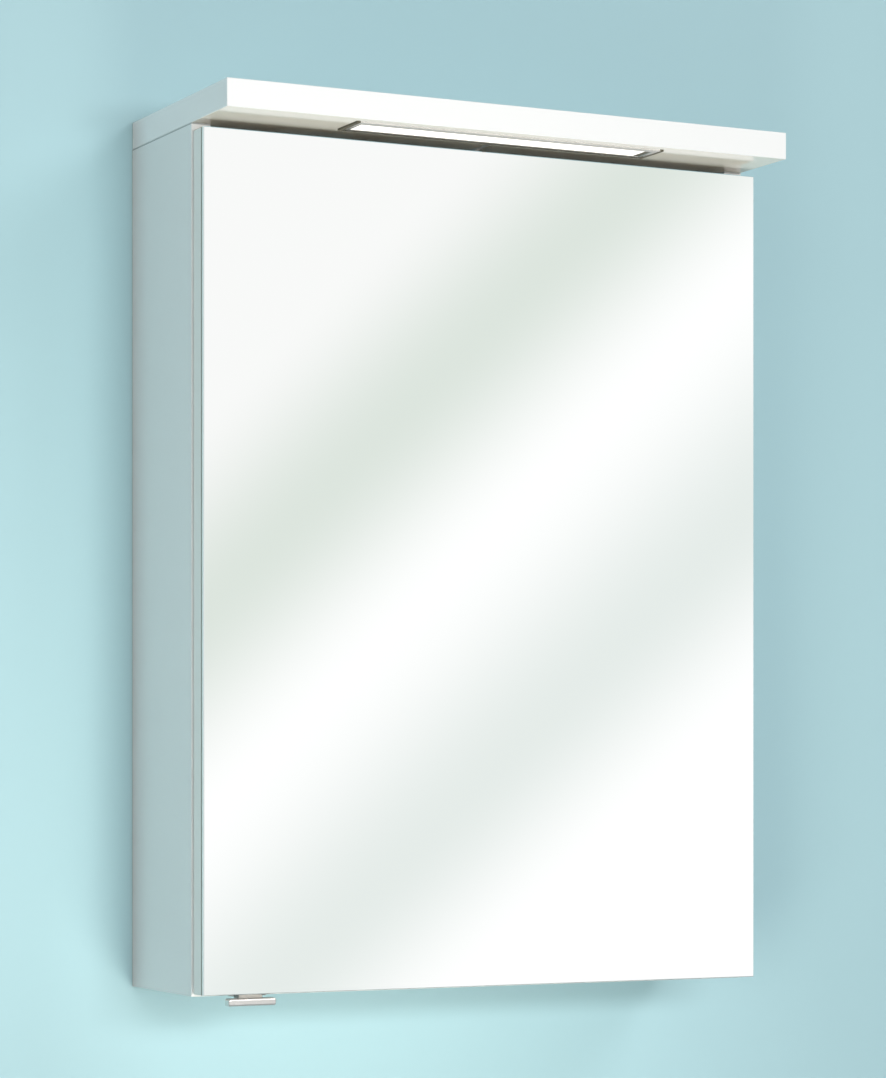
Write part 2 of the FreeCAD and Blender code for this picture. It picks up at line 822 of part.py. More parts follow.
shelf_half = inner_half - s.shelf_side_gap
shelf_back = back_front_face - s.shelf_back_gap
shelf_front = s.shelf_front_setback - s.body_depth
pins = []
for label, share in SHELF_HEIGHT_SHARES.items():
    hole_height = pin_row_height(round(rows_below(top_board_low * share)))
    shelf_low = hole_height + s.pin_radius
    shelf = plate(
        "XY_Plane",
        rectangle(-shelf_half, shelf_front, shelf_half * 2, shelf_back - shelf_front),
        s.shelf_thickness,
        (zero, zero, shelf_low),
    )
    break_edges(shelf, "Chamfer", lambda edge: not runs_along(edge, "z"), s.glass_bevel)
    node(label, shelf)
    for side in (-1, 1):
        for line in (front_line, rear_line):
            start = inner_half * side - (s.pin_hole_depth if side < 0 else s.pin_reach)
            stem = rod((start, line, hole_height), "X", s.pin_radius, s.pin_hole_depth + s.pin_reach)
            pad_x = inner_half * side if side < 0 else inner_half - s.pin_reach
            pad = box(
                (pad_x, line - s.pin_pad_width / 2, shelf_low - s.pin_pad_thickness),
                (s.pin_reach, s.pin_pad_width, s.pin_pad_thickness),
            )
            pins.append(fuse([stem, pad]))
node("shelf_pins", gather(pins))


# Cabinet hangers: a housing in each upper rear corner, and a hook through the back that its screw lifts

hook_back = -s.hook_wall_gap
hook_front = hook_back - s.hook_length
tip_front = hook_back - s.hook_tip_thickness
hook_high = hook_low + s.hook_height
hanger_screws = []
adjusters = []
for name, side in (("left", -1), ("right", 1)):
    low_x = -inner_half if side < 0 else inner_half - s.hanger_width
    housing = box((low_x, hanger_front, hanger_low), (s.hanger_width, s.hanger_depth, s.hanger_height))
    cavity = box(
        (low_x + s.hanger_wall, hanger_front + s.hanger_wall, hanger_low + s.hanger_wall),
        (
            s.hanger_width - s.hanger_wall * 2,
            s.hanger_depth,
            s.hanger_height - s.hanger_wall * 2,
        ),
    )
    adjuster_hole = rod(
        (hook_middle * side, hanger_front - s.bore_overrun, hook_low + s.hook_height / 2),
        "Y",
        s.adjuster_radius + s.fit_clearance,
        s.hanger_wall + s.bore_overrun * 2,
    )
    housing_tools = [cavity, adjuster_hole]
    wall_face = inner_half * side
    for height in (hanger_screw_low, hanger_screw_high):
        start = wall_face - (s.bore_overrun if side < 0 else s.hanger_wall + s.bore_overrun)
        at = (start, hanger_screw_line, height)
        housing_tools.append(
            rod(at, "X", s.wood_screw_radius + s.fit_clearance, s.hanger_wall + s.bore_overrun * 2)
        )
        length = s.wood_screw_length - s.bore_overrun + s.hanger_wall
        tip = (
            wall_face - s.wood_screw_length + s.bore_overrun if side < 0 else inner_half - s.hanger_wall,
            hanger_screw_line,
            height,
        )
        hanger_screws.append(
            screw(tip, "X", s.wood_screw_radius, length, s.wood_screw_head_radius, s.wood_screw_head_height, side < 0)
        )
    node(f"{name}_hanger_housing", cut(housing, housing_tools))
    adjusters.append(
        screw(
            (hook_middle * side, hanger_front, hook_low + s.hook_height / 2),
            "Y",
            s.adjuster_radius,
            hook_front - hanger_front - s.adjuster_gap,
            s.adjuster_head_radius,
            s.adjuster_head_height,
            False,
        )
    )
    hook = plate(
        "YZ_Plane",
        [
            (hook_front, hook_low),
            (tip_front, hook_low),
            (tip_front, hook_low - s.hook_tip_drop),
            (hook_back, hook_low - s.hook_tip_drop),
            (hook_back, hook_high),
            (hook_front, hook_high),
        ],
        s.hook_thickness,
        (hook_middle * side - s.hook_thickness / 2, zero, zero),
    )
    node(f"{name}_hanger_hook", hook)
node("hanger_screws", gather(hanger_screws))
node("hanger_adjusters", gather(adjusters))


# Lamp: a metal tray with a flange under the cornice, a strip of light sources and a frosted cover

window_half = s.lamp_length / 2 - s.lamp_window_margin
window_front = lamp_front + s.lamp_window_margin
window_depth = s.lamp_width - s.lamp_window_margin * 2
flange_low = side_height - s.lamp_flange
tray = fuse(
    [
        box((-s.lamp_length / 2, lamp_front, flange_low), (s.lamp_length, s.lamp_width, s.lamp_flange)),
        box((-tray_half, tray_front, side_height), (tray_half * 2, tray_depth, s.lamp_tray_height)),
    ]
)
tray_hollow = box(
    (-window_half, window_front, flange_low - s.bore_overrun),
    (
        window_half * 2,
        window_depth,
        s.lamp_flange + s.lamp_tray_height - s.lamp_tray_top + s.bore_overrun,
    ),
)
tray_tools = [tray_hollow]
lamp_screws = []
led_top = tray_top - s.lamp_tray_top
for side in (-1, 1):
    tray_tools.append(
        rod(
            (lamp_screw_x * side, lamp_middle, led_top - s.bore_overrun),
            "Z",
            s.lamp_screw_radius + s.fit_clearance,
            s.lamp_tray_top + s.bore_overrun * 2,
        )
    )
    lamp_screws.append(
        screw(
            (lamp_screw_x * side, lamp_middle, led_top),
            "Z",
            s.lamp_screw_radius,
            s.lamp_screw_length,
            s.lamp_screw_head_radius,
            s.lamp_screw_head_height,
            False,
        )
    )
node("lamp_frame", cut(tray, tray_tools))
node("lamp_screws", gather(lamp_screws))
diffuser = plate(
    "XY_Plane",
    rectangle(
        -window_half + s.diffuser_clearance,
        window_front + s.diffuser_clearance,
        (window_half - s.diffuser_clearance) * 2,
        window_depth - s.diffuser_clearance * 2,
    ),
    s.diffuser_thickness,
    (zero, zero, flange_low + s.diffuser_recess),
)
node("lamp_diffuser", diffuser)
led_board_half = lamp_screw_x - s.lamp_screw_head_radius - s.led_board_gap
led_pitch = (led_board_half - s.led_end_distance) * 2 / (LED_COUNT - 1)
led_board = box(
    (-led_board_half, lamp_middle - s.led_board_width / 2, led_top - s.led_board_thickness),
    (led_board_half * 2, s.led_board_width, s.led_board_thickness),
)
leds = [
    box(
        (
            led_pitch * (index - (LED_COUNT - 1) / 2) - s.led_size / 2,
            lamp_middle - s.led_size / 2,
            led_top - s.led_board_thickness - s.led_height,
        ),
        (s.led_size, s.led_size, s.led_height),
    )
    for index in range(LED_COUNT)
]
node("led_strip", fuse([led_board] + leds))


# Compartment over the top board: the lamp's driver, the junction box and the leads between them

driver = plate(
    "XY_Plane",
    rectangle(driver_left, driver_front, s.driver_length, s.driver_depth),
    s.driver_height,
    (zero, zero, compartment_low),
)
break_edges(driver, "Fillet", lambda edge: runs_along(edge, "z"), s.driver_rounding)
node("lamp_driver", driver)
box_low = compartment_low
box_shell = box((box_left, driver_front, box_low), (s.box_length, s.box_depth, s.box_height))
box_cavity = box(
    (box_left + s.box_wall, driver_front + s.box_wall, box_low + s.box_wall),
    (s.box_length - s.box_wall * 2, s.box_depth - s.box_wall * 2, s.box_height),
)
lead_z = compartment_low + s.driver_entry_height
driver_lead_y = driver_front + s.driver_depth / 2
box_tools = [
    box_cavity,
    rod(
        (lead_hole[0], lead_hole[1], box_low - s.bore_overrun),
        "Z",
        s.lead_bore_radius,
        s.box_wall + s.bore_overrun * 2,
    ),
    rod(
        (grommet_x, driver_front + s.box_depth - s.box_wall - s.bore_overrun, lead_z),
        "Y",
        s.grommet_bore,
        s.box_wall + s.bore_overrun * 2,
    ),
]
node("junction_box", cut(box_shell, box_tools))
lid = plate(
    "XY_Plane",
    rectangle(box_left, driver_front, s.box_length, s.box_depth),
    s.box_lid,
    (zero, zero, box_low + s.box_height),
)
node("junction_box_lid", lid)
terminal_left = lead_bore_x - s.terminal_length / 2
terminal_front = driver_front + s.box_wall
terminal = box(
    (terminal_left, terminal_front, box_low + s.box_wall),
    (s.terminal_length, s.terminal_depth, s.terminal_height),
)
terminal_tools = [
    rod(
        (
            lead_bore_x + s.terminal_pitch * (index - (TERMINAL_SCREWS - 1) / 2),
            terminal_front + s.terminal_depth / 2,
            box_low + s.box_wall + s.terminal_height - s.terminal_screw_depth,
        ),
        "Z",
        s.terminal_screw_radius,
        s.terminal_screw_depth + s.bore_overrun,
    )
    for index in range(TERMINAL_SCREWS)
]
node("terminal_block", cut(terminal, terminal_tools))
grommet_body = fuse(
    [
        rod((grommet_x, -s.board, grommet_z), "Y", s.grommet_radius, s.board),
        rod((grommet_x, -s.board - s.grommet_flange, grommet_z), "Y", s.grommet_flange_radius, s.grommet_flange),
    ]
)
grommet_hole = rod(
    (grommet_x, -s.board - s.grommet_flange - s.bore_overrun, grommet_z),
    "Y",
    s.grommet_bore,
    s.board + s.grommet_flange + s.bore_overrun * 2,
)
node("mains_grommet", cut(grommet_body, [grommet_hole]))
node("driver_lead", rod((box_right, driver_lead_y, lead_z), "X", s.lead_radius, s.box_gap))
switch_lead_low = top_board_low - s.unit_wall * 2
node(
    "switch_lead",
    rod(
        (lead_hole[0], lead_hole[1], switch_lead_low),
        "Z",
        s.lead_radius,
        compartment_low + s.box_wall * 2 - switch_lead_low,
    ),
)


# Lamp lead: out of the tray, along the channel in the cornice and down to the driver


def round_path(points, share):
    """Straight runs joined by arcs that touch them, each arc using a share of its shorter run."""
    edges = []
    radii = []
    start = points[0]
    for before, corner, after in zip(points, points[1:], points[2:]):
        into = (before - corner).normalize()
        out = (after - corner).normalize()
        reach = share * min((before - corner).Length, (after - corner).Length)
        half_turn = (math.pi - into.getAngle(out)) / 2
        radius = reach / math.tan(half_turn)
        first = corner + into * reach
        last = corner + out * reach
        middle = corner + (into + out).normalize() * (radius / math.cos(half_turn) - radius)
        edges.append(Part.LineSegment(start, first).toShape())
        edges.append(Part.Arc(first, middle, last).toShape())
        radii.append(radius)
        start = last
    edges.append(Part.LineSegment(start, points[-1]).toShape())
    return Part.Wire(edges), radii


lamp_lead_z = side_height + s.lead_lamp_height
lamp_lead_points = [
    (tray_front + tray_depth, lamp_lead_z),
    (-s.body_depth, lamp_lead_z),
    (s.lead_fall_end - s.body_depth, lead_z),
    (driver_front, lead_z),
]
lead_path, lead_radii = round_path([FreeCAD.Vector(0, y.value, z.value) for y, z in lamp_lead_points], BEND_RUN_SHARE)
lead_circle = Part.Circle(
    FreeCAD.Vector(0, lamp_lead_points[0][0].value, lamp_lead_z.value),
    FreeCAD.Vector(0, 1, 0),
    s.lead_radius.value,
)
lead_tube = lead_path.makePipeShell([Part.Wire(lead_circle.toShape())], True, True)
lamp_lead = new("Part::Feature", "Lead")
lamp_lead.Shape = lead_tube
lamp_lead.Placement = FreeCAD.Placement()
node("lamp_lead", lamp_lead)
lead_section = math.pi * s.lead_radius.value**2
print("lamp lead radii", [round(radius, 1) for radius in lead_radii])
print("lamp lead volume over section times length", lead_tube.Volume / (lead_section * lead_path.Length))


# Switch and socket unit: a box under the top board with a face plate, a rocker and a socket

shell = box((unit_left, unit_front, unit_low), (s.unit_length, s.unit_depth, s.unit_height))
hollow = box(
    (unit_left + s.unit_wall, unit_front - s.bore_overrun, unit_low + s.unit_wall),
    (
        s.unit_length - s.unit_wall * 2,
        s.unit_depth - s.unit_wall + s.bore_overrun,
        s.unit_height - s.unit_wall * 2,
    ),
)
unit_tools = [hollow]
unit_tools.append(
    rod(
        (lead_hole[0], lead_hole[1], top_board_low - s.unit_wall - s.bore_overrun),
        "Z",
        s.lead_bore_radius,
        s.unit_wall + s.bore_overrun * 2,
    )
)
unit_screws = []
for x, y in unit_screw_places:
    unit_tools.append(
        rod(
            (x, y, top_board_low - s.unit_wall - s.bore_overrun),
            "Z",
            s.unit_screw_radius + s.fit_clearance,
            s.unit_wall + s.bore_overrun * 2,
        )
    )
    unit_screws.append(
        screw(
            (x, y, top_board_low - s.unit_wall),
            "Z",
            s.unit_screw_radius,
            s.unit_screw_length,
            s.unit_screw_head_radius,
            s.unit_screw_head_height,
            False,
        )
    )
node("switch_box_housing", cut(shell, unit_tools))
node("switch_box_screws", gather(unit_screws))
unit_middle_z = unit_low + s.unit_height / 2
socket_x = unit_left + s.unit_length - s.socket_edge_distance
rocker_x = unit_left + s.rocker_edge_distance
face_front = unit_front - s.face_thickness
rocker_axis_y = unit_front + s.rocker_axis_setback
opening_half = s.rocker_width / 2 + s.rocker_opening_gap
opening_tall = s.rocker_height / 2 + s.rocker_opening_end_gap
face = plate(
    "XZ_Plane",
    rectangle(unit_left, unit_low, s.unit_length, s.unit_height),
    s.face_thickness,
    (zero, unit_front, zero),
)
break_edges(
    face,
    "Fillet",
    lambda edge: runs_along(edge, "y") or max(v.Y for v in edge.Vertexes) < -s.face_thickness.value / 2,
    s.face_rounding,
)
face_tools = [
    box(
        (rocker_x - opening_half, face_front - s.bore_overrun, unit_middle_z - opening_tall),
        (opening_half * 2, s.face_thickness + s.bore_overrun * 2, opening_tall * 2),
    ),
    rod(
        (socket_x, face_front - s.bore_overrun, unit_middle_z),
        "Y",
        s.socket_radius + s.socket_clearance,
        s.face_thickness + s.bore_overrun * 2,
    ),
]
lug_reach = s.rocker_axis_setback + s.rocker_lug_reach
lugs = []
lug_inner = s.rocker_width / 2 + s.rocker_lug_gap
for side in (-1, 1):
    lug_x = rocker_x + lug_inner if side > 0 else rocker_x - lug_inner - s.rocker_lug_thickness
    lugs.append(
        box(
            (lug_x, unit_front - s.face_thickness / 2, unit_middle_z - s.rocker_lug_reach),
            (s.rocker_lug_thickness, lug_reach + s.face_thickness / 2, s.rocker_lug_reach * 2),
        )
    )
lug_bore = rod(
    (rocker_x - lug_inner - s.rocker_lug_thickness - s.bore_overrun, rocker_axis_y, unit_middle_z),
    "X",
    s.rocker_pin_radius + s.rocker_pin_clearance,
    (lug_inner + s.rocker_lug_thickness + s.bore_overrun) * 2,
)
node("switch_box_face", cut(fuse([cut(face, face_tools)] + lugs), [lug_bore]))
rocker_profile = [
    (-s.rocker_front_rise, s.rocker_height / 2),
    (-s.rocker_middle_rise, zero),
    (-s.rocker_front_rise, -s.rocker_height / 2),
    (s.rocker_back, -s.rocker_height / 2),
    (s.rocker_back, s.rocker_height / 2),
]
rocker_block = plate("YZ_Plane", rocker_profile, s.rocker_width, (-s.rocker_width / 2, zero, zero))
rocker_pin_half = lug_inner + s.rocker_lug_thickness
rocker_pin = rod((-rocker_pin_half, zero, zero), "X", s.rocker_pin_radius, rocker_pin_half * 2)
rocker = fuse([rocker_block, rocker_pin])
rocker.Placement = FreeCAD.Placement(FreeCAD.Vector(), FreeCAD.Rotation(FreeCAD.Vector(1, 0, 0), 1))
rocker.setExpression("Placement.Rotation.Angle", s.rocker_tilt.text)
place(rocker, (rocker_x, rocker_axis_y, unit_middle_z))
node("rocker_switch", rocker)
socket_body = rod((socket_x, face_front, unit_middle_z), "Y", s.socket_radius, s.socket_depth)
socket_tools = [
    rod(
        (socket_x, face_front - s.bore_overrun, unit_middle_z),
        "Y",
        s.socket_radius - s.socket_wall,
        s.socket_recess + s.bore_overrun,
    )
]
for side in (-1, 1):
    socket_tools.append(
        rod(
            (
                socket_x + s.contact_spacing / 2 * side,
                face_front + s.socket_recess - s.bore_overrun,
                unit_middle_z,
            ),
            "Y",
            s.contact_radius,
            s.contact_depth + s.bore_overrun,
        )
    )
node("socket_insert", cut(socket_body, socket_tools))
earth_rise = s.socket_radius - s.socket_wall - s.earth_gap - s.earth_thickness
earth_clips = [
    box(
        (
            socket_x - s.earth_width / 2,
            face_front + s.socket_recess - s.earth_length,
            unit_middle_z + earth_rise if side > 0 else unit_middle_z - earth_rise - s.earth_thickness,
        ),
        (s.earth_width, s.earth_length, s.earth_thickness),
    )
    for side in (-1, 1)
]
node("socket_earth_clips", gather(earth_clips))


# Door: a board with the mirror bonded to its face, hung on the right

cup_x = door_half - s.cup_edge_distance - s.cup_radius
flange_screw_x = cup_x - s.flange_screw_offset
handle_middle = -half_width + s.handle_edge_distance + s.handle_width / 2
handle_y = board_front + s.board / 2
door_panel = plate(
    "XZ_Plane",
    rectangle(-door_half, door_low, door_half * 2, door_height),
    s.board,
    (zero, door_back, zero),
)
door_tools = []
for height in hinge_heights.values():
    door_tools.append(
        rod(
            (cup_x, door_back - s.cup_depth - s.cup_clearance, height),
            "Y",
            s.cup_radius + s.cup_clearance,
            s.cup_depth + s.cup_clearance + s.bore_overrun,
        )
    )
    for step in (-1, 1):
        door_tools.append(
            rod(
                (flange_screw_x, door_back - s.wood_screw_length, height + s.flange_screw_spacing / 2 * step),
                "Y",
                s.wood_screw_radius + s.fit_clearance,
                s.wood_screw_length + s.bore_overrun,
            )
        )
for step in (-1, 1):
    door_tools.append(
        rod(
            (handle_middle + s.handle_screw_spacing / 2 * step, handle_y, door_low - s.bore_overrun),
            "Z",
            s.handle_screw_radius + s.fit_clearance,
            s.handle_screw_length + s.bore_overrun,
        )
    )
node("door_board", cut(door_panel, door_tools))
film = plate(
    "XZ_Plane",
    rectangle(
        -door_half + s.film_inset,
        door_low + s.film_inset,
        (door_half - s.film_inset) * 2,
        door_height - s.film_inset * 2,
    ),
    s.film_thickness,
    (zero, board_front, zero),
)
node("mirror_adhesive", film)
glass = plate(
    "XZ_Plane",
    rectangle(-door_half, door_low, door_half * 2, door_height),
    s.glass_thickness,
    (zero, glass_back, zero),
)
break_edges(
    glass,
    "Chamfer",
    lambda edge: max(vertex.Y for vertex in edge.Vertexes) < -s.glass_thickness.value / 2,
    s.glass_bevel,
)
node("mirror_glass", glass)
bumper_x = -half_width + s.board / 2
bumpers = [
    rod((bumper_x, door_back, height), "Y", s.bumper_radius, s.bumper_thickness)
    for height in (door_low + s.bumper_inset, door_high - s.bumper_inset)
]
node("door_bumpers", gather(bumpers))


# Handle: a short metal bar under the door, on a neck and a screwed plate

handle_high = door_low - s.handle_gap
bar_front = glass_front + s.handle_front_setback
handle_bar = plate(
    "XY_Plane",
    rectangle(handle_middle - s.handle_width / 2, bar_front, s.handle_width, s.handle_bar_depth),
    s.handle_height,
    (zero, zero, handle_high - s.handle_height),
)
break_edges(handle_bar, "Fillet", lambda edge: True, s.handle_rounding)
foot_front = handle_y - s.handle_plate_depth / 2
neck_front = bar_front + s.handle_bar_depth / 2
neck = box(
    (handle_middle - s.handle_neck_width / 2, neck_front, handle_high - s.handle_rounding),
    (
        s.handle_neck_width,
        foot_front + s.handle_plate_depth - neck_front,
        s.handle_gap + s.handle_rounding,
    ),
)
plate_low = door_low - s.handle_plate_thickness
foot = box(
    (handle_middle - s.handle_plate_width / 2, foot_front, plate_low),
    (s.handle_plate_width, s.handle_plate_depth, s.handle_plate_thickness),
)
handle_tools = []
handle_screws = []
for step in (-1, 1):
    x = handle_middle + s.handle_screw_spacing / 2 * step
    handle_tools.append(
        rod(
            (x, handle_y, plate_low - s.bore_overrun),
            "Z",
            s.handle_screw_radius + s.fit_clearance,
            s.handle_plate_thickness + s.bore_overrun * 2,
        )
    )
    handle_screws.append(
        screw(
            (x, handle_y, plate_low),
            "Z",
            s.handle_screw_radius,
            s.handle_screw_length,
            s.handle_screw_head_radius,
            s.handle_plate_thickness,
            False,
        )
    )
node("door_handle", cut(fuse([handle_bar, neck, foot]), handle_tools))
node("handle_screws", gather(handle_screws))


# Concealed hinges: a cup in the door and an arm on the side, joined by a hooked outer and a short inner link

cup_screws = []
plate_screws = []
arm_screws = []
outer_arm = (inner_half - s.outer_arm_pivot_in, s.outer_arm_pivot_back - s.body_depth)
inner_arm = (inner_half - s.inner_arm_pivot_in, s.inner_arm_pivot_back - s.body_depth)
outer_cup = (door_half - s.outer_cup_pivot_edge, door_back - s.outer_cup_pivot_depth)
inner_cup = (door_half - s.inner_cup_pivot_edge, door_back - s.inner_cup_pivot_depth)
pin_hole = s.link_pin_radius + s.link_pin_clearance
lug_inner_z = s.inner_link_half_thickness + s.lug_gap
lug_outer_z = lug_inner_z + s.lug_thickness
cheek_inner_z = lug_outer_z + s.cheek_gap
cheek_outer_z = cheek_inner_z + s.cheek_thickness
arm_inner_z = cheek_outer_z + s.arm_gap
arm_outer_z = arm_inner_z + s.arm_wall
cup_floor = door_back - s.cup_depth + s.cup_wall
arm_top = inner_half - s.arm_rib_height
arm_rear = s.arm_length - s.body_depth
rib_front = s.arm_rib_front - s.body_depth


def between(start, end, shares):
    along, across = shares
    return (start[0] + (end[0] - start[0]) * along, start[1] + (end[1] - start[1]) * across)


def hinge(name, height):
    # Cup: pressed shell with a flange on the door's back and two inner lugs for the inner link's pin
    flange_low_x = cup_x - s.flange_width
    shell_parts = [
        rod((cup_x, door_back - s.cup_depth, height), "Y", s.cup_radius, s.cup_depth),
        rod((cup_x, door_back, height), "Y", s.cup_radius + s.flange_rim, s.flange_thickness),
        box(
            (flange_low_x, door_back, height - s.flange_height / 2),
            (s.flange_width, s.flange_thickness, s.flange_height),
        ),
    ]
    bowl = rod(
        (cup_x, cup_floor, height),
        "Y",
        s.cup_radius - s.cup_wall,
        s.cup_depth + s.flange_thickness + s.bore_overrun,
    )
    screw_holes = [
        rod(
            (flange_screw_x, door_back - s.bore_overrun, height + s.flange_screw_spacing / 2 * step),
            "Y",
            s.wood_screw_radius + s.fit_clearance,
            s.flange_thickness + s.bore_overrun * 2,
        )
        for step in (-1, 1)
    ]
    wall_bore = rod(
        (outer_cup[0], outer_cup[1], height - s.cup_radius * 2), "Z", pin_hole, s.cup_radius * 4
    )
    lug_top = inner_cup[1] + s.lug_half_width
    cup_lugs = [
        box(
            (
                inner_cup[0] - s.lug_half_width,
                cup_floor - s.cup_wall / 2,
                height + (lug_inner_z if step > 0 else -lug_outer_z),
            ),
            (s.lug_half_width * 2, lug_top - cup_floor + s.cup_wall / 2, s.lug_thickness),
        )
        for step in (-1, 1)
    ]
    lug_bore = rod((inner_cup[0], inner_cup[1], height - lug_outer_z * 2), "Z", pin_hole, lug_outer_z * 4)
    cup_shell = cut(fuse(shell_parts), [bowl, wall_bore] + screw_holes)
    node(f"{name}_hinge_cup", fuse([cup_shell] + [cut(lug, [lug_bore]) for lug in cup_lugs]))

    # Pins in the cup: two short ones for the outer link's cheeks, one for the inner link
    stub_low = cheek_inner_z - s.link_pin_clearance
    stub_high = s.cup_radius - s.cup_pin_wall_gap
    cup_pins = [
        rod(
            (outer_cup[0], outer_cup[1], height + (stub_low if step > 0 else -stub_high)),
            "Z",
            s.link_pin_radius,
            stub_high - stub_low,
        )
        for step in (-1, 1)
    ]
    cup_pins.append(
        rod((inner_cup[0], inner_cup[1], height - lug_outer_z), "Z", s.link_pin_radius, lug_outer_z * 2)
    )
    node(f"{name}_cup_pins", gather(cup_pins))

    # Outer link: two hooked cheeks that reach round the door's edge when it is open
    cheeks = []
    bends = [between(outer_arm, outer_cup, shares) for shares in OUTER_LINK_BEND_SHARES]
    for step in (-1, 1):
        low = height + (cheek_inner_z if step > 0 else -cheek_outer_z)
        pieces = chain([outer_arm] + bends + [outer_cup], s.link_half_width, low, s.cheek_thickness)
        eyes = [rod((x, y, low), "Z", s.link_eye_radius, s.cheek_thickness) for x, y in (outer_arm, outer_cup)]
        holes = [
            rod((x, y, low - s.bore_overrun), "Z", pin_hole, s.cheek_thickness + s.bore_overrun * 2)
            for x, y in (outer_arm, outer_cup)
        ]
        cheeks.append(cut(fuse(pieces + eyes), holes))
    node(f"{name}_outer_link", gather(cheeks))

    # Inner link: one solid bar, its cup end an open eye with play round the pin
    low = height - s.inner_link_half_thickness
    thickness = s.inner_link_half_thickness * 2
    bends = [between(inner_arm, inner_cup, shares) for shares in INNER_LINK_BEND_SHARES]
    pieces = chain([inner_arm] + bends + [inner_cup], s.link_half_width, low, thickness)
    pieces.append(rod((inner_arm[0], inner_arm[1], low), "Z", s.link_eye_radius, thickness))
    open_eye = s.inner_open_eye_radius + s.inner_open_eye_wall
    pieces.append(rod((inner_cup[0], inner_cup[1], low), "Z", open_eye, thickness))
    holes = [
        rod((inner_arm[0], inner_arm[1], low - s.bore_overrun), "Z", pin_hole, thickness + s.bore_overrun * 2),
        rod(
            (inner_cup[0], inner_cup[1], low - s.bore_overrun),
            "Z",
            s.inner_open_eye_radius,
            thickness + s.bore_overrun * 2,
        ),
    ]
    node(f"{name}_inner_link", cut(fuse(pieces), holes))

    # Arm: a channel over the mounting plate, its two walls running forward to the link pins
    wall_x = arm_top + s.arm_wall_depth
    root_x = arm_top + s.arm_half_width
    root = (root_x, rib_front + s.arm_half_width)
    walls = []
    for step in (-1, 1):
        low = height + (arm_inner_z if step > 0 else -arm_outer_z)
        strips = [
            bar(inner_arm, outer_arm, s.arm_half_width, low, s.arm_wall),
            bar(outer_arm, root, s.arm_half_width, low, s.arm_wall),
            bar(inner_arm, root, s.arm_half_width, low, s.arm_wall),
            rod((inner_arm[0], inner_arm[1], low), "Z", s.arm_half_width, s.arm_wall),
            rod((outer_arm[0], outer_arm[1], low), "Z", s.arm_half_width, s.arm_wall),
            box(
                (arm_top - s.arm_wall, rib_front, low),
                (wall_x - arm_top + s.arm_wall, arm_rear - rib_front, s.arm_wall),
            ),
        ]
        pins_here = [
            rod((x, y, low - s.bore_overrun), "Z", pin_hole, s.arm_wall + s.bore_overrun * 2)
            for x, y in (outer_arm, inner_arm)
        ]
        walls.append(cut(fuse(strips), pins_here))
    web = box(
        (arm_top - s.arm_wall, rib_front, height - arm_outer_z),
        (s.arm_wall, arm_rear - rib_front, arm_outer_z * 2),
    )
    screw_y = arm_rear - s.arm_screw_setback
    screw_steps = (screw_y, rib_front + s.arm_screw_setback / 2)
    web_holes = [
        rod(
            (arm_top - s.arm_wall - s.bore_overrun, y, height),
            "X",
            s.arm_screw_radius + s.fit_clearance,
            s.arm_wall + s.bore_overrun * 2,
        )
        for y in screw_steps
    ]
    node(f"{name}_hinge_arm", cut(fuse(walls + [web]), web_holes))
    pin_low = height - arm_outer_z - s.pin_head_length
    pin_length = (arm_outer_z + s.pin_head_length) * 2
    arm_pins = [rod((x, y, pin_low), "Z", s.link_pin_radius, pin_length) for x, y in (outer_arm, inner_arm)]
    node(f"{name}_arm_pins", gather(arm_pins))

    # Mounting plate: a flat screwed to the side, with a rib that the arm straddles
    plate_front = front_line - s.plate_width / 2
    base = box(
        (inner_half - s.plate_thickness, plate_front, height - s.plate_height / 2),
        (s.plate_thickness, s.plate_width, s.plate_height),
    )
    rib_half = arm_inner_z - s.plate_rib_clearance
    rib = box(
        (arm_top, rib_front, height - rib_half),
        (s.arm_rib_height, arm_rear - rib_front, rib_half * 2),
    )
    plate_holes = [
        rod(
            (arm_top - s.bore_overrun, y, height),
            "X",
            s.arm_screw_radius + s.fit_clearance,
            s.arm_screw_length + s.bore_overrun,
        )
        for y in screw_steps
    ]
    for step in (-1, 1):
        at = height + s.plate_screw_spacing / 2 * step
        plate_holes.append(
            rod(
                (inner_half - s.plate_thickness - s.bore_overrun, front_line, at),
                "X",
                s.wood_screw_radius + s.fit_clearance,
                s.plate_thickness + s.bore_overrun * 2,
            )
        )
        plate_screws.append(
            screw(
                (inner_half - s.plate_thickness, front_line, at),
                "X",
                s.wood_screw_radius,
                s.wood_screw_length,
                s.wood_screw_head_radius,
                s.wood_screw_head_height,
                False,
            )
        )
        cup_screws.append(
            screw(
                (
                    flange_screw_x,
                    door_back - s.wood_screw_length + s.bore_overrun,
                    height + s.flange_screw_spacing / 2 * step,
                ),
                "Y",
                s.wood_screw_radius,
                s.wood_screw_length - s.bore_overrun + s.flange_thickness,
                s.wood_screw_head_radius,
                s.wood_screw_head_height,
            )
        )
    node(f"{name}_hinge_plate", cut(fuse([base, rib]), plate_holes))
    for y in screw_steps:
        arm_screws.append(
            screw(
                (arm_top - s.arm_wall, y, height),
                "X",
                s.arm_screw_radius,
                s.arm_screw_length,
                s.arm_screw_head_radius,
                s.arm_screw_head_height,
                False,
            )
        )


for name, height in hinge_heights.items():
    hinge(name, height)
node("hinge_cup_screws", gather(cup_screws))
node("hinge_plate_screws", gather(plate_screws))
node("hinge_arm_screws", gather(arm_screws))


# Check every object, then write one file for each sub-part

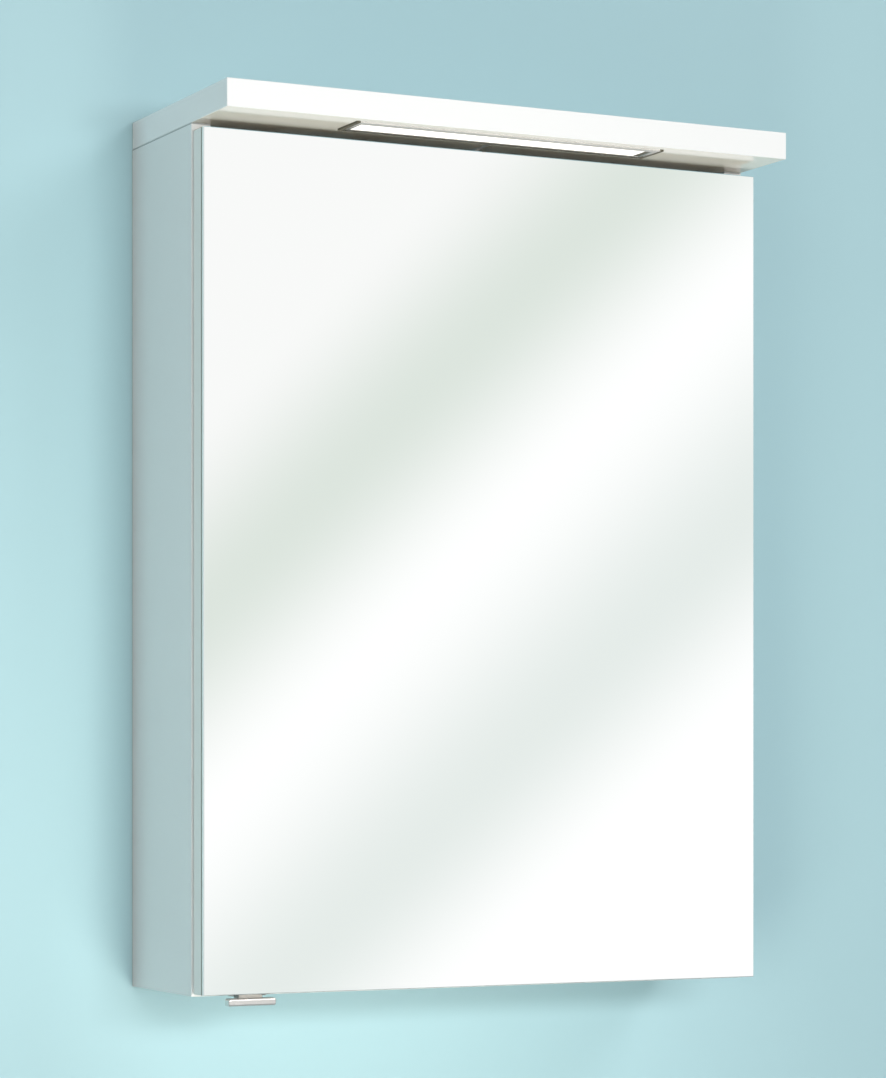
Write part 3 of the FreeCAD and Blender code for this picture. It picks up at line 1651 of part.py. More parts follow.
doc.recompute()
faults = [
    f"{thing.Name} {thing.State}"
    for thing in doc.Objects
    if "Invalid" in thing.State or "Error" in thing.State
]
for thing in nodes:
    if thing.Shape.isNull() or not thing.Shape.isValid() or not thing.Shape.Solids:
        faults.append(f"{thing.Label} has no valid solid")
if faults:
    raise RuntimeError("; ".join(faults))
os.makedirs("parts", exist_ok=True)
for thing in nodes:
    thing.Shape.exportStep(os.path.join("parts", thing.Label + ".step"))
    print(thing.Label, len(thing.Shape.Solids), round(thing.Shape.Volume, 1))
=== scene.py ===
import json
import math

import bmesh
import bpy
from mathutils import Matrix, Vector


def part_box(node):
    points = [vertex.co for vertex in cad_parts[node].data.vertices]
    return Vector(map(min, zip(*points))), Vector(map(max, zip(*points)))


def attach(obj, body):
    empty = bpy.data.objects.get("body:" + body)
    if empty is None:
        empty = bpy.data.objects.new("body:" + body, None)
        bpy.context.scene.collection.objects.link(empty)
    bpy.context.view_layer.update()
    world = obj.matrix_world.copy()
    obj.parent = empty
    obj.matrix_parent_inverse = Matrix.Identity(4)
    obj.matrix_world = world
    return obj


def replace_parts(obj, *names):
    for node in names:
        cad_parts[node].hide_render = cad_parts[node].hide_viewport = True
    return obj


# Wall-hung bathroom mirror cabinet. Every length is in metres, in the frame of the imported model:
# +Z up, the wall at y = 0, the mirror facing -Y, x = 0 at mid width.

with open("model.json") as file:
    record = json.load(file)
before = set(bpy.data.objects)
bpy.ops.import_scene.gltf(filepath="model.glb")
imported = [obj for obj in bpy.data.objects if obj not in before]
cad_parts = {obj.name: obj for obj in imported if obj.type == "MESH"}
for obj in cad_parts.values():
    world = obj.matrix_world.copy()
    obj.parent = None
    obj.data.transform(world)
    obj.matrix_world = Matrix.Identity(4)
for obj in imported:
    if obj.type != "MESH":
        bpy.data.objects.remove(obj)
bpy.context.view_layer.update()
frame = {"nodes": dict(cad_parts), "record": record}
nodes = frame["nodes"]


# Carcass boards: chipboard faced with white melamine, cut square and edged with a thin white band.
# The sides run from top to bottom and hold the other boards between them. The long edges of the sides
# and of the top and bottom boards that face the wall are left raw.

MILLIMETRE = 0.001
BOARD_WHITE = (0.84, 0.85, 0.845, 1)
SEAM_GREY = (0.55, 0.56, 0.555, 1)
CORNICE_JOINT_PAINTED_SHADE = (0.40, 0.42, 0.42, 1)
CHIP_PALE = (0.60, 0.45, 0.28, 1)
CHIP_DARK = (0.30, 0.20, 0.11, 1)
BAND_THICKNESS = 0.8 * MILLIMETRE
BAND_SEAM = 0.16 * MILLIMETRE
CORNICE_JOINT = 2.2 * MILLIMETRE
RAW_EDGE_DEPTH = 0.3 * MILLIMETRE
PEARL_RELIEF = 0.2 * MILLIMETRE
BOARD_EDGE_RADIUS = 0.45 * MILLIMETRE
MERGE_DISTANCE = 0.002 * MILLIMETRE
FLAT_ANGLE = math.radians(1)
SHARP_ANGLE = math.radians(38)
CREASE_ANGLE = math.radians(50)


class Wire:
    """An output socket in a material's node tree. Arithmetic on it adds Math nodes."""

    def __init__(self, tree, socket):
        self.tree = tree
        self.socket = socket

    def node(self, kind, settings=None, sockets=None, output=0):
        """Adds a node, makes its settings, fills its sockets with values or wires, and gives an output."""
        made = self.tree.nodes.new(kind)
        for name, value in (settings or {}).items():
            if name == "stops":
                fill_ramp(made.color_ramp, value)
            elif name == "interpolation":
                made.color_ramp.interpolation = value
            else:
                setattr(made, name, value)
        for key, value in (sockets or {}).items():
            if isinstance(value, Wire):
                self.tree.links.new(value.socket, made.inputs[key])
            else:
                made.inputs[key].default_value = value
        return Wire(self.tree, made.outputs[output])

    def math(self, operation, *others):
        return self.node("ShaderNodeMath", {"operation": operation}, dict(enumerate((self, *others))))

    def __add__(self, other):
        return self.math("ADD", other)

    def __radd__(self, other):
        return self + other

    def __sub__(self, other):
        return self.math("SUBTRACT", other)

    def __rsub__(self, other):
        return self * -1 + other

    def __mul__(self, other):
        return self.math("MULTIPLY", other)

    def __rmul__(self, other):
        return self * other

    def __truediv__(self, other):
        return self.math("DIVIDE", other)

    def over(self, limit):
        return self.math("GREATER_THAN", limit)

    def under(self, limit):
        return self.math("LESS_THAN", limit)

    def either(self, other):
        return self.math("MAXIMUM", other)

    def near(self, place, width):
        return (self - place).math("ABSOLUTE").under(width / 2)

    def mix(self, low, high):
        """Goes from one colour to another as this value goes from 0 to 1."""
        return self.node("ShaderNodeMix", {"data_type": "RGBA"}, {0: self, 6: low, 7: high}, 2)

    def ramp(self, stops, interpolation="LINEAR"):
        """Goes through the colours of the stops, each at its own position between 0 and 1."""
        settings = {"interpolation": interpolation, "stops": stops}
        return self.node("ShaderNodeValToRGB", settings, {0: self})

    def axes(self):
        return [self.node("ShaderNodeSeparateXYZ", {}, {0: self}, index) for index in range(3)]

    def scaled(self, x, y, z):
        return self.node("ShaderNodeVectorMath", {"operation": "MULTIPLY"}, {0: self, 1: (x, y, z)})

    def noise(self, scale, detail=2.0, roughness=0.5):
        sockets = {"Vector": self, "Scale": scale, "Detail": detail, "Roughness": roughness}
        return self.node("ShaderNodeTexNoise", {}, sockets)

    def bump(self, strength, distance):
        return self.node("ShaderNodeBump", {}, {"Height": self, "Strength": strength, "Distance": distance})


def fill_ramp(ramp, stops):
    while len(ramp.elements) < len(stops):
        ramp.elements.new(0.5)
    for element, (position, colour) in zip(ramp.elements, stops):
        element.position = position
        element.color = colour


class Finish:
    """A material with one Principled shader, and the point of the piece that it is worked out at."""

    def __init__(self, name, sockets):
        self.material = bpy.data.materials.new(name)
        self.material.use_nodes = True
        self.tree = self.material.node_tree
        self.shader = self.tree.nodes["Principled BSDF"]
        self.point = Wire(self.tree, self.tree.nodes.new("ShaderNodeTexCoord").outputs["Object"])
        self.set(sockets)

    def set(self, sockets):
        for name, value in sockets.items():
            if isinstance(value, Wire):
                self.tree.links.new(value.socket, self.shader.inputs[name])
            else:
                self.shader.inputs[name].default_value = value

    def linked(self, name):
        """The wire that already feeds one of the shader's sockets."""
        return Wire(self.tree, self.shader.inputs[name].links[0].from_socket)


def paint(piece, finish):
    piece.data.materials.clear()
    piece.data.materials.append(finish.material)
    return piece


def add_piece(name, shape, finish, body):
    """Turns a finished bmesh into an object that rides on a body, smooth but for its sharp edges."""
    for edge in shape.edges:
        edge.smooth = edge.calc_face_angle(0) < CREASE_ANGLE
    mesh = bpy.data.meshes.new(name)
    shape.to_mesh(mesh)
    shape.free()
    piece = bpy.data.objects.new(name, mesh)
    bpy.context.scene.collection.objects.link(piece)
    for face in mesh.polygons:
        face.use_smooth = True
    paint(piece, finish)
    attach(piece, body)
    return piece


def body_of(node):
    bodies = frame["record"]["behaviour"]["bodies"]
    return next(body for body, members in bodies.items() if node in members)


def soften(node, radius, finish, segments=2):
    """A copy of a sub-part with its sharp edges rounded, as the real one's are, which takes its place."""
    shape = bmesh.new()
    shape.from_mesh(nodes[node].data)
    bmesh.ops.remove_doubles(shape, verts=shape.verts, dist=MERGE_DISTANCE)
    bmesh.ops.dissolve_limit(shape, angle_limit=FLAT_ANGLE, verts=shape.verts, edges=shape.edges)
    sharp = [edge for edge in shape.edges if edge.is_manifold and edge.calc_face_angle() > SHARP_ANGLE]
    bmesh.ops.bevel(
        shape,
        geom=sharp,
        offset=radius,
        segments=segments,
        profile=0.5,
        affect="EDGES",
        material=-1,
        clamp_overlap=True,
    )
    piece = add_piece(node + "_finished", shape, finish, body_of(node))
    weighted = piece.modifiers.new("flat_faces", "WEIGHTED_NORMAL")
    weighted.keep_sharp = True
    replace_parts(piece, node)
    return piece


def shaded(colour, share):
    """The same colour with that share of its light."""
    return tuple(channel * share for channel in colour[:3]) + (1,)


def melamine(name, seam_and_shade_lines=(), raw_edge=None, tone=BOARD_WHITE):
    """White melamine with a fine pearl, thin lines along its seams and painted shade lines where parts meet,
    and raw chipboard past one place.
    """
    finish = Finish(name, {"Coat Weight": 0.12, "Coat Roughness": 0.25, "Specular IOR Level": 0.5})
    x, y, z = finish.point.axes()
    pearl = finish.point.noise(scale=900, detail=3)
    cloud = finish.point.noise(scale=9)
    white = cloud.mix(shaded(tone, 0.99), tone)
    along = {"x": x, "y": y, "z": z}
    for letter, place, width, line_colour in seam_and_shade_lines:
        white = along[letter].near(place, width).mix(white, line_colour)
    rough = pearl * 0.10 + 0.30
    height = pearl
    if raw_edge:
        letter, place = raw_edge
        raw = along[letter].over(place)
        chips = finish.point.scaled(1, 1, 0.45).noise(scale=420, detail=4, roughness=0.7)
        white = raw.mix(white, chips.ramp([(0.35, CHIP_DARK), (0.62, CHIP_PALE)]))
        rough = rough + raw * 0.4
        height = pearl + raw * chips * 8
    finish.set({"Base Color": white, "Roughness": rough, "Normal": height.bump(0.06, PEARL_RELIEF)})
    return finish


side_low, side_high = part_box("left_side_panel")
front_seam = ("y", side_low.y + BAND_THICKNESS, BAND_SEAM, SEAM_GREY)
low_seam = ("z", BAND_THICKNESS, BAND_SEAM, SEAM_GREY)
# Painted shade: a grey band on the sides' tops where the cornice sits on them.
cornice_joint_painted_shade = ("z", side_high.z, CORNICE_JOINT, CORNICE_JOINT_PAINTED_SHADE)
wall_edge = ("y", -RAW_EDGE_DEPTH)
side_finish = melamine("side_board_melamine", [front_seam, low_seam, cornice_joint_painted_shade], wall_edge)
cross_finish = melamine("cross_board_melamine", [front_seam], wall_edge)
rail_finish = melamine("rail_melamine")
for board in ("left_side_panel", "right_side_panel"):
    soften(board, BOARD_EDGE_RADIUS, side_finish)
for board in ("top_board", "bottom_board"):
    soften(board, BOARD_EDGE_RADIUS, cross_finish)
soften("rear_rail", BOARD_EDGE_RADIUS, rail_finish)


# Back panel: a thin sheet of pressed fibre, lacquered white towards the inside and bare brown to the wall.
# It slides in grooves in the sides and the two cross boards.

FIBRE_BROWN = (0.33, 0.21, 0.115, 1)
FIBRE_PALE = (0.46, 0.32, 0.19, 1)
LACQUER_SHADE = (0.80, 0.81, 0.80, 1)
LACQUER_WHITE = (0.84, 0.85, 0.84, 1)
BARE_DEPTH = 0.4 * MILLIMETRE
FIBRE_RELIEF = 0.3 * MILLIMETRE
_, back_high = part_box("back_panel")
back_finish = Finish("back_sheet", {})
_, back_y, _ = back_finish.point.axes()
fibre = back_finish.point.noise(scale=260, detail=6, roughness=0.75)
lacquer = fibre.mix(LACQUER_SHADE, LACQUER_WHITE)
bare = back_y.over(back_high.y - BARE_DEPTH)
back_finish.set(
    {
        "Base Color": bare.mix(lacquer, fibre.mix(FIBRE_BROWN, FIBRE_PALE)),
        "Roughness": bare * 0.3 + 0.45,
        "Normal": fibre.bump(0.15, FIBRE_RELIEF),
    }
)
paint(nodes["back_panel"], back_finish)


# Cornice: a thicker board in high-gloss white foil that wraps its front and ends, its underside painted cream
# as the lamp's warm light.
# It lies on the sides, and its front part hangs over the door and holds the lamp. The photograph's mirror
# shows neither cornice nor lamp, so both stay out of reflections.

CORNICE_WHITE = (0.90, 0.905, 0.905, 1)
# Painted warm light: the cream below stands for the lamp's light on the white underside.
CORNICE_UNDERSIDE_PAINTED_WARM_LIGHT = (0.90, 0.865, 0.765, 1)
UNDERSIDE_PAINT_DEPTH = 0.1 * MILLIMETRE
RIPPLE_RELIEF = 0.4 * MILLIMETRE
CORNICE_EDGE_RADIUS = 0.4 * MILLIMETRE
cornice_low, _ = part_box("cornice_board")
cornice_finish = Finish("cornice_gloss_foil", {"Specular IOR Level": 0.35})
_, cornice_y, cornice_z = cornice_finish.point.axes()
cornice_raw = cornice_y.over(-RAW_EDGE_DEPTH)
# Painted warm light: the underside gets the cream tone in place of the foil's white.
cornice_under = cornice_z.under(cornice_low.z + UNDERSIDE_PAINT_DEPTH)
ripple = cornice_finish.point.noise(scale=55)
cornice_finish.set(
    {
        "Base Color": cornice_raw.mix(cornice_under.mix(CORNICE_WHITE, CORNICE_UNDERSIDE_PAINTED_WARM_LIGHT), CHIP_PALE),
        "Roughness": cornice_raw * 0.6 + cornice_under * 0.03 + (ripple * 0.02 + 0.04),
        "Normal": ripple.bump(0.004, RIPPLE_RELIEF),
    }
)
soften("cornice_board", CORNICE_EDGE_RADIUS, cornice_finish).visible_glossy = False


# Cams, bolts and dowels that hold the boards: die-cast zinc cams that draw in plated steel bolts, and
# plain beech dowels.

ZINC = (0.60, 0.61, 0.62, 1)
STEEL = (0.68, 0.68, 0.67, 1)
NICKEL = (0.70, 0.685, 0.655, 1)
BEECH_DARK = (0.48, 0.30, 0.16, 1)
BEECH_PALE = (0.68, 0.48, 0.29, 1)
SCRATCH_RELIEF = 0.1 * MILLIMETRE
BEECH_RELIEF = 0.2 * MILLIMETRE


def metal(name, colour, roughness, spread, grain=(1, 1, 1), scale=500):
    """Bare or plated metal: fine scratches along its grain, and a slightly uneven shine."""
    finish = Finish(name, {"Metallic": 1.0})
    scratch = finish.point.scaled(*grain).noise(scale, detail=4, roughness=0.65)
    cloud = finish.point.noise(scale=60)
    finish.set(
        {
            "Base Color": cloud.mix(shaded(colour, 0.86), colour),
            "Roughness": scratch * spread + cloud * 0.06 + (roughness - spread / 2),
            "Normal": scratch.bump(0.05, SCRATCH_RELIEF),
        }
    )
    return finish


zinc_finish = metal("die_cast_zinc", ZINC, roughness=0.42, spread=0.16)
screw_finish = metal("plated_screw_steel", STEEL, roughness=0.28, spread=0.12)
nickel_finish = metal("nickel_plated_steel", NICKEL, roughness=0.24, spread=0.10)
dowel_finish = Finish("beech_dowel_wood", {"Roughness": 0.62})
dowel_grain = dowel_finish.point.scaled(0.08, 1, 1).noise(scale=900, detail=4, roughness=0.6)
beech = dowel_grain.mix(BEECH_DARK, BEECH_PALE)
dowel_finish.set({"Base Color": beech, "Normal": dowel_grain.bump(0.2, BEECH_RELIEF)})
paint(nodes["cam_locks"], zinc_finish)
paint(nodes["cam_bolts"], screw_finish)
paint(nodes["wood_dowels"], dowel_finish)


# Glass shelves and their pins: clear float glass with ground edges that look green. Each shelf lies on
# four nickel-plated steel pins, pushed into the rows of holes in the sides.

GLASS_FACE = (0.96, 0.99, 0.975, 1)
GLASS_EDGE = (0.42, 0.74, 0.62, 1)
SHELF_EDGE_DEPTH = 0.9 * MILLIMETRE


def shelf_glass(name, node):
    low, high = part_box(node)
    finish = Finish(name, {"Transmission Weight": 1.0, "IOR": 1.5, "Roughness": 0.0})
    x, y, _ = finish.point.axes()
    edge = x.math("ABSOLUTE").over(high.x - SHELF_EDGE_DEPTH)
    edge = edge.either(y.over(high.y - SHELF_EDGE_DEPTH)).either(y.under(low.y + SHELF_EDGE_DEPTH))
    finish.set({"Base Color": edge.mix(GLASS_FACE, GLASS_EDGE), "Roughness": edge * 0.12})
    return finish


for shelf in ("lower_glass_shelf", "upper_glass_shelf"):
    paint(nodes[shelf], shelf_glass(shelf + "_float", shelf))
paint(nodes["shelf_pins"], nickel_finish)


# Cabinet hangers: white plastic housings in the upper rear corners, each with a zinc hook that a screw
# lifts. Their screws, as all the others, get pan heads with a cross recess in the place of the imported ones.

TURN_STEPS = 32
QUARTER_TURNS = ((1, 0), (0, 1), (-1, 0), (0, -1))
PAN_SHARES = ((1.0, 0.0), (1.0, 0.30), (0.95, 0.62), (0.82, 0.88), (0.62, 1.0))
CROSS_REACH_SHARE = 0.50
CROSS_HALF_WIDTH_SHARE = 0.11
CROSS_DEPTH_SHARE = 0.65
CROSS_FLOOR_SHARE = 0.75
SAME_RADIUS = 0.02 * MILLIMETRE
SPARK_RELIEF = 0.1 * MILLIMETRE
SPARK_SPREAD = 0.12
HANGER_WHITE = (0.80, 0.80, 0.785, 1)
HANGER_EDGE_RADIUS = 0.6 * MILLIMETRE


def plastic(name, colour, roughness, grain=0.05):
    """Moulded plastic with the fine spark texture of its mould."""
    finish = Finish(name, {})
    spark = finish.point.noise(scale=2200, detail=3, roughness=0.6)
    cloud = finish.point.noise(scale=40)
    finish.set(
        {
            "Base Color": cloud.mix(shaded(colour, 0.965), colour),
            "Roughness": spark * SPARK_SPREAD + (roughness - SPARK_SPREAD / 2),
            "Normal": spark.bump(grain, SPARK_RELIEF),
        }
    )
    return finish


def islands(node):
    """The points of each separate solid of a node."""
    shape = bmesh.new()
    shape.from_mesh(nodes[node].data)
    bmesh.ops.remove_doubles(shape, verts=shape.verts, dist=MERGE_DISTANCE)
    unseen = dict.fromkeys(shape.verts)
    groups = []
    while unseen:
        waiting = [next(iter(unseen))]
        del unseen[waiting[0]]
        groups.append([])
        while waiting:
            vertex = waiting.pop()
            groups[-1].append(vertex.co.copy())
            for edge in vertex.link_edges:
                other = edge.other_vert(vertex)
                if other in unseen:
                    del unseen[other]
                    waiting.append(other)
    shape.free()
    return groups


def corners(points):
    return Vector(map(min, zip(*points))), Vector(map(max, zip(*points)))


def turned(profile):
    """A solid spun round Z from a profile of radii and heights, closed where the profile meets the axis."""
    solid = bmesh.new()
    points = [solid.verts.new((radius, 0, height)) for radius, height in profile]
    lines = [solid.edges.new(pair) for pair in zip(points, points[1:])]
    bmesh.ops.spin(
        solid,
        geom=points + lines,
        cent=(0, 0, 0),
        axis=(0, 0, 1),
        angle=2 * math.pi,
        steps=TURN_STEPS,
        use_merge=True,
    )
    bmesh.ops.remove_doubles(solid, verts=solid.verts, dist=MERGE_DISTANCE)
    return solid


def stand(shape, solid, place, direction):
    """Adds a solid that was made along Z to a shape, at a place and pointing the given way."""
    turn = direction.to_track_quat("Z", "Y").to_matrix().to_4x4()
    bmesh.ops.transform(solid, matrix=Matrix.Translation(place) @ turn, verts=solid.verts)
    bmesh.ops.recalc_face_normals(solid, faces=solid.faces)
    mesh = bpy.data.meshes.new("standing")
    solid.to_mesh(mesh)
    solid.free()
    shape.from_mesh(mesh)
    bpy.data.meshes.remove(mesh)


def cross_screw(head_radius, head_height, shank_radius, shank_length):
    """A pan-headed screw along Z, the underside of its head at zero, with a cross recess in its top."""
    profile = [(0, -shank_length), (shank_radius, -shank_length), (shank_radius, 0)]
    profile += [(head_radius * wide, head_height * tall) for wide, tall in PAN_SHARES]
    solid = turned(profile)
    reach = head_radius * CROSS_REACH_SHARE
    half = head_radius * CROSS_HALF_WIDTH_SHARE
    arm = [(half, -half), (reach, -half), (reach, half)]
    outline = [
        (x * cosine - y * sine, x * sine + y * cosine) for cosine, sine in QUARTER_TURNS for x, y in arm
    ]
    rim = solid.faces.new([solid.verts.new((x, y, head_height)) for x, y in outline])
    pressed = bmesh.ops.extrude_face_region(solid, geom=[rim])["geom"]
    floor = [item for item in pressed if isinstance(item, bmesh.types.BMVert)]
    bmesh.ops.scale(solid, vec=(CROSS_FLOOR_SHARE, CROSS_FLOOR_SHARE, 1), verts=floor)
    bmesh.ops.translate(solid, vec=(0, 0, -head_height * CROSS_DEPTH_SHARE), verts=floor)
    if rim.is_valid:
        bmesh.ops.delete(solid, geom=[rim], context="FACES_ONLY")
    open_edges = [edge for edge in solid.edges if edge.is_boundary]
    bmesh.ops.triangle_fill(solid, use_beauty=True, edges=open_edges)
    return solid


def make_screws(node, finish):
    """Cross-headed screws in the places, of the sizes and along the axes of a node's packed ones."""
    shape = bmesh.new()
    for points in islands(node):
        low, high = corners(points)
        extent = high - low
        axis = max(range(3), key=lambda index: extent[index])
        middle = (low + high) / 2
        sideways = [index for index in range(3) if index != axis]
        reaches = [math.hypot(*(point[index] - middle[index] for index in sideways)) for point in points]
        head_radius = max(reaches)
        head = [point[axis] for point, reach in zip(points, reaches) if reach > head_radius - SAME_RADIUS]
        direction = Vector((0, 0, 0))
        direction[axis] = 1 if max(head) > high[axis] - SAME_RADIUS else -1
        head_height = max(head) - min(head)
        middle[axis] = min(head) if direction[axis] > 0 else max(head)
        screw = cross_screw(head_radius, head_height, min(reaches), extent[axis] - head_height)
        stand(shape, screw, middle, direction)
    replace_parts(add_piece(node + "_finished", shape, finish, body_of(node)), node)


white_plastic = plastic("white_moulded_plastic", HANGER_WHITE, roughness=0.42)
for side in ("left", "right"):
    soften(f"{side}_hanger_housing", HANGER_EDGE_RADIUS, white_plastic)
    paint(nodes[f"{side}_hanger_hook"], zinc_finish)
make_screws("hanger_screws", screw_finish)
make_screws("hanger_adjusters", screw_finish)


# Lamp: an aluminium tray with a satin chrome flange under the cornice, its two ends painted dark olive as
# shade.
# A strip of light-emitting diodes lies in it, behind a frosted acrylic cover that glows, but for a strip at
# its right end that is painted dark as shade and gives no light.

BLACK = (0, 0, 0, 1)
LAMP_METAL = (0.60, 0.585, 0.54, 1)
LAMP_END_PAINTED_SHADE = (0.115, 0.105, 0.07, 1)
LAMP_SHADED_END_WIDTH = 3.2 * MILLIMETRE
LAMP_GLOW = (1.0, 0.955, 0.88, 1)
LAMP_GLOW_RIM = (0.90, 0.84, 0.70, 1)
LAMP_RIM_WIDTH = 1.6 * MILLIMETRE
LAMP_EDGE_RADIUS = 0.35 * MILLIMETRE
COVER_SHADED_END_WIDTH = 5.5 * MILLIMETRE
COVER_GLOW = 0.82
FROST_SHADE = (0.86, 0.86, 0.84, 1)
FROST_WHITE = (0.90, 0.90, 0.88, 1)
FROST_RELIEF = 0.1 * MILLIMETRE
STRIP_WHITE = (0.82, 0.83, 0.80, 1)
STRIP_DEPTH = 0.5 * MILLIMETRE
DIODE_AMBER = (0.9, 0.72, 0.2, 1)
DIODE_YELLOW = (0.95, 0.8, 0.3, 1)
_, lamp_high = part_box("lamp_frame")
lamp_finish = metal(
    "satin_chrome_lamp", LAMP_METAL, roughness=0.24, spread=0.04, grain=(0.02, 1, 1), scale=900
)
lamp_x, _, _ = lamp_finish.point.axes()
# Painted shade: the tray's two ends are dark olive and dull.
painted_shade_ends = lamp_x.math("ABSOLUTE").over(lamp_high.x - LAMP_SHADED_END_WIDTH)
brushed = lamp_finish.linked("Base Color")
scratched = lamp_finish.linked("Roughness")
lamp_finish.set(
    {
        "Base Color": painted_shade_ends.mix(brushed, LAMP_END_PAINTED_SHADE),
        "Roughness": scratched + painted_shade_ends * 0.45,
        "Metallic": 1 - painted_shade_ends,
    }
)
soften("lamp_frame", LAMP_EDGE_RADIUS, lamp_finish).visible_glossy = False
make_screws("lamp_screws", screw_finish)

cover_finish = Finish("frosted_lamp_cover", {"Roughness": 0.5, "Emission Strength": COVER_GLOW})
cover_x, cover_y, _ = cover_finish.point.axes()
cover_low, cover_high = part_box("lamp_diffuser")
cover_middle = (cover_low.y + cover_high.y) / 2
from_end = cover_high.x - cover_x.math("ABSOLUTE")
from_side = (cover_high.y - cover_middle) - (cover_y - cover_middle).math("ABSOLUTE")
rim_fade = 1 - from_end.math("MINIMUM", from_side) / LAMP_RIM_WIDTH
glow = rim_fade.either(0.0).mix(LAMP_GLOW, LAMP_GLOW_RIM)
# Painted shade: the cover's right end is dark and does not glow.
painted_shade_cover_end = cover_x.over(cover_high.x - COVER_SHADED_END_WIDTH)
frost = cover_finish.point.noise(scale=1800)
cover_finish.set(
    {
        "Base Color": painted_shade_cover_end.mix(frost.mix(FROST_SHADE, FROST_WHITE), LAMP_END_PAINTED_SHADE),
        "Emission Color": painted_shade_cover_end.mix(glow, BLACK),
        "Normal": frost.bump(0.05, FROST_RELIEF),
    }
)
paint(nodes["lamp_diffuser"], cover_finish).visible_glossy = False

led_low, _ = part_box("led_strip")
led_finish = Finish("led_board", {"Roughness": 0.4})
_, _, led_z = led_finish.point.axes()
led_body = led_z.under(led_low.z + STRIP_DEPTH)
diode = led_finish.point.noise(scale=700, detail=1).mix(DIODE_AMBER, DIODE_YELLOW)
led_finish.set({"Base Color": led_body.mix(STRIP_WHITE, diode)})
paint(nodes["led_strip"], led_finish)


# Compartment over the top board: the lamp's driver, the junction box with its lid and terminals, the
# rubber grommet for the mains cable, and the white sheathed leads between them.

DRIVER_WHITE = (0.78, 0.78, 0.77, 1)
JUNCTION_GREY = (0.62, 0.63, 0.63, 1)
TERMINAL_CREAM = (0.70, 0.71, 0.64, 1)
RUBBER_BLACK = (0.018, 0.018, 0.018, 1)
SHEATH_WHITE = (0.80, 0.80, 0.79, 1)
CASE_EDGE_RADIUS = 0.5 * MILLIMETRE
JUNCTION_EDGE_RADIUS = 0.4 * MILLIMETRE
driver_plastic = plastic("driver_case_plastic", DRIVER_WHITE, roughness=0.4)
junction_plastic = plastic("junction_box_plastic", JUNCTION_GREY, roughness=0.45)
terminal_plastic = plastic("terminal_polyamide", TERMINAL_CREAM, roughness=0.35)
grommet_rubber = plastic("black_grommet_rubber", RUBBER_BLACK, roughness=0.55, grain=0.12)
sheath_finish = plastic("white_lead_sheath", SHEATH_WHITE, roughness=0.38, grain=0.03)
soften("lamp_driver", CASE_EDGE_RADIUS, driver_plastic)
soften("junction_box", JUNCTION_EDGE_RADIUS, junction_plastic)
soften("junction_box_lid", CASE_EDGE_RADIUS, junction_plastic)
paint(nodes["terminal_block"], terminal_plastic)
soften("mains_grommet", CASE_EDGE_RADIUS, grommet_rubber)
for lead in ("driver_lead", "switch_lead"):
    paint(nodes[lead], sheath_finish)


# Lamp lead: a thin round cord in the same white sheath, from the tray along the channel in the cornice
# and down to the driver.

LEAD_DIAMETER = 3.4 * MILLIMETRE
LEAD_SLOPE_DEPTH = 18 * MILLIMETRE
LEAD_ROUND_STEPS = 5
LEAD_LONG_STEPS = 16
lead_low, lead_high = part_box("lamp_lead")
LEAD_ROUTE = [
    (0.0, lead_low.y, lead_high.z - LEAD_DIAMETER / 2),
    (0.0, side_low.y, lead_high.z - LEAD_DIAMETER / 2),
    (0.0, side_low.y + LEAD_SLOPE_DEPTH, lead_low.z + LEAD_DIAMETER / 2),
    (0.0, lead_high.y, lead_low.z + LEAD_DIAMETER / 2),
]
lead_curve = bpy.data.curves.new("lamp_lead_cord", "CURVE")
lead_curve.dimensions = "3D"
lead_curve.bevel_depth = LEAD_DIAMETER / 2
lead_curve.bevel_resolution = LEAD_ROUND_STEPS
lead_curve.use_fill_caps = True
lead_spline = lead_curve.splines.new("NURBS")
lead_spline.points.add(len(LEAD_ROUTE) - 1)
for point, place in zip(lead_spline.points, LEAD_ROUTE):
    point.co = (*place, 1.0)
lead_spline.order_u = 3
lead_spline.use_endpoint_u = True
lead_spline.resolution_u = LEAD_LONG_STEPS
lead_cord = bpy.data.objects.new("lamp_lead_cord", lead_curve)
bpy.context.scene.collection.objects.link(lead_cord)
lead_curve.materials.append(sheath_finish.material)
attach(lead_cord, body_of("lamp_lead"))
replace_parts(lead_cord, "lamp_lead")


# Switch and socket unit: a white housing, a gloss face plate, a rocker on its pins and a round socket
# insert with brass earth clips.

SWITCH_WHITE = (0.82, 0.82, 0.81, 1)
BRASS = (0.78, 0.60, 0.30, 1)
HOUSING_EDGE_RADIUS = 0.5 * MILLIMETRE
FACE_EDGE_RADIUS = 0.3 * MILLIMETRE
ROCKER_EDGE_RADIUS = 0.8 * MILLIMETRE
INSERT_EDGE_RADIUS = 0.4 * MILLIMETRE
face_plastic = plastic("gloss_switch_plastic", SWITCH_WHITE, roughness=0.18, grain=0.01)
soften("switch_box_housing", HOUSING_EDGE_RADIUS, white_plastic)
soften("switch_box_face", FACE_EDGE_RADIUS, face_plastic)
soften("rocker_switch", ROCKER_EDGE_RADIUS, face_plastic, segments=3)
soften("socket_insert", INSERT_EDGE_RADIUS, face_plastic)
paint(nodes["socket_earth_clips"], metal("brass_earth_clip", BRASS, roughness=0.25, spread=0.10))
make_screws("switch_box_screws", screw_finish)


# Door board: the same melamine board, banded on its sides and below and bare on its hidden top edge, its
# white painted warmer and lighter as the warm front light on it.
# A brown band along its front edges stands for the adhesive bead where the mirror is glued on, and its
# darkness is partly painted shade in that joint.

# Painted warm light: the door's white is warmer and lighter than the carcass's.
DOOR_WHITE_PAINTED_WARM_LIGHT = (0.88, 0.86, 0.825, 1)
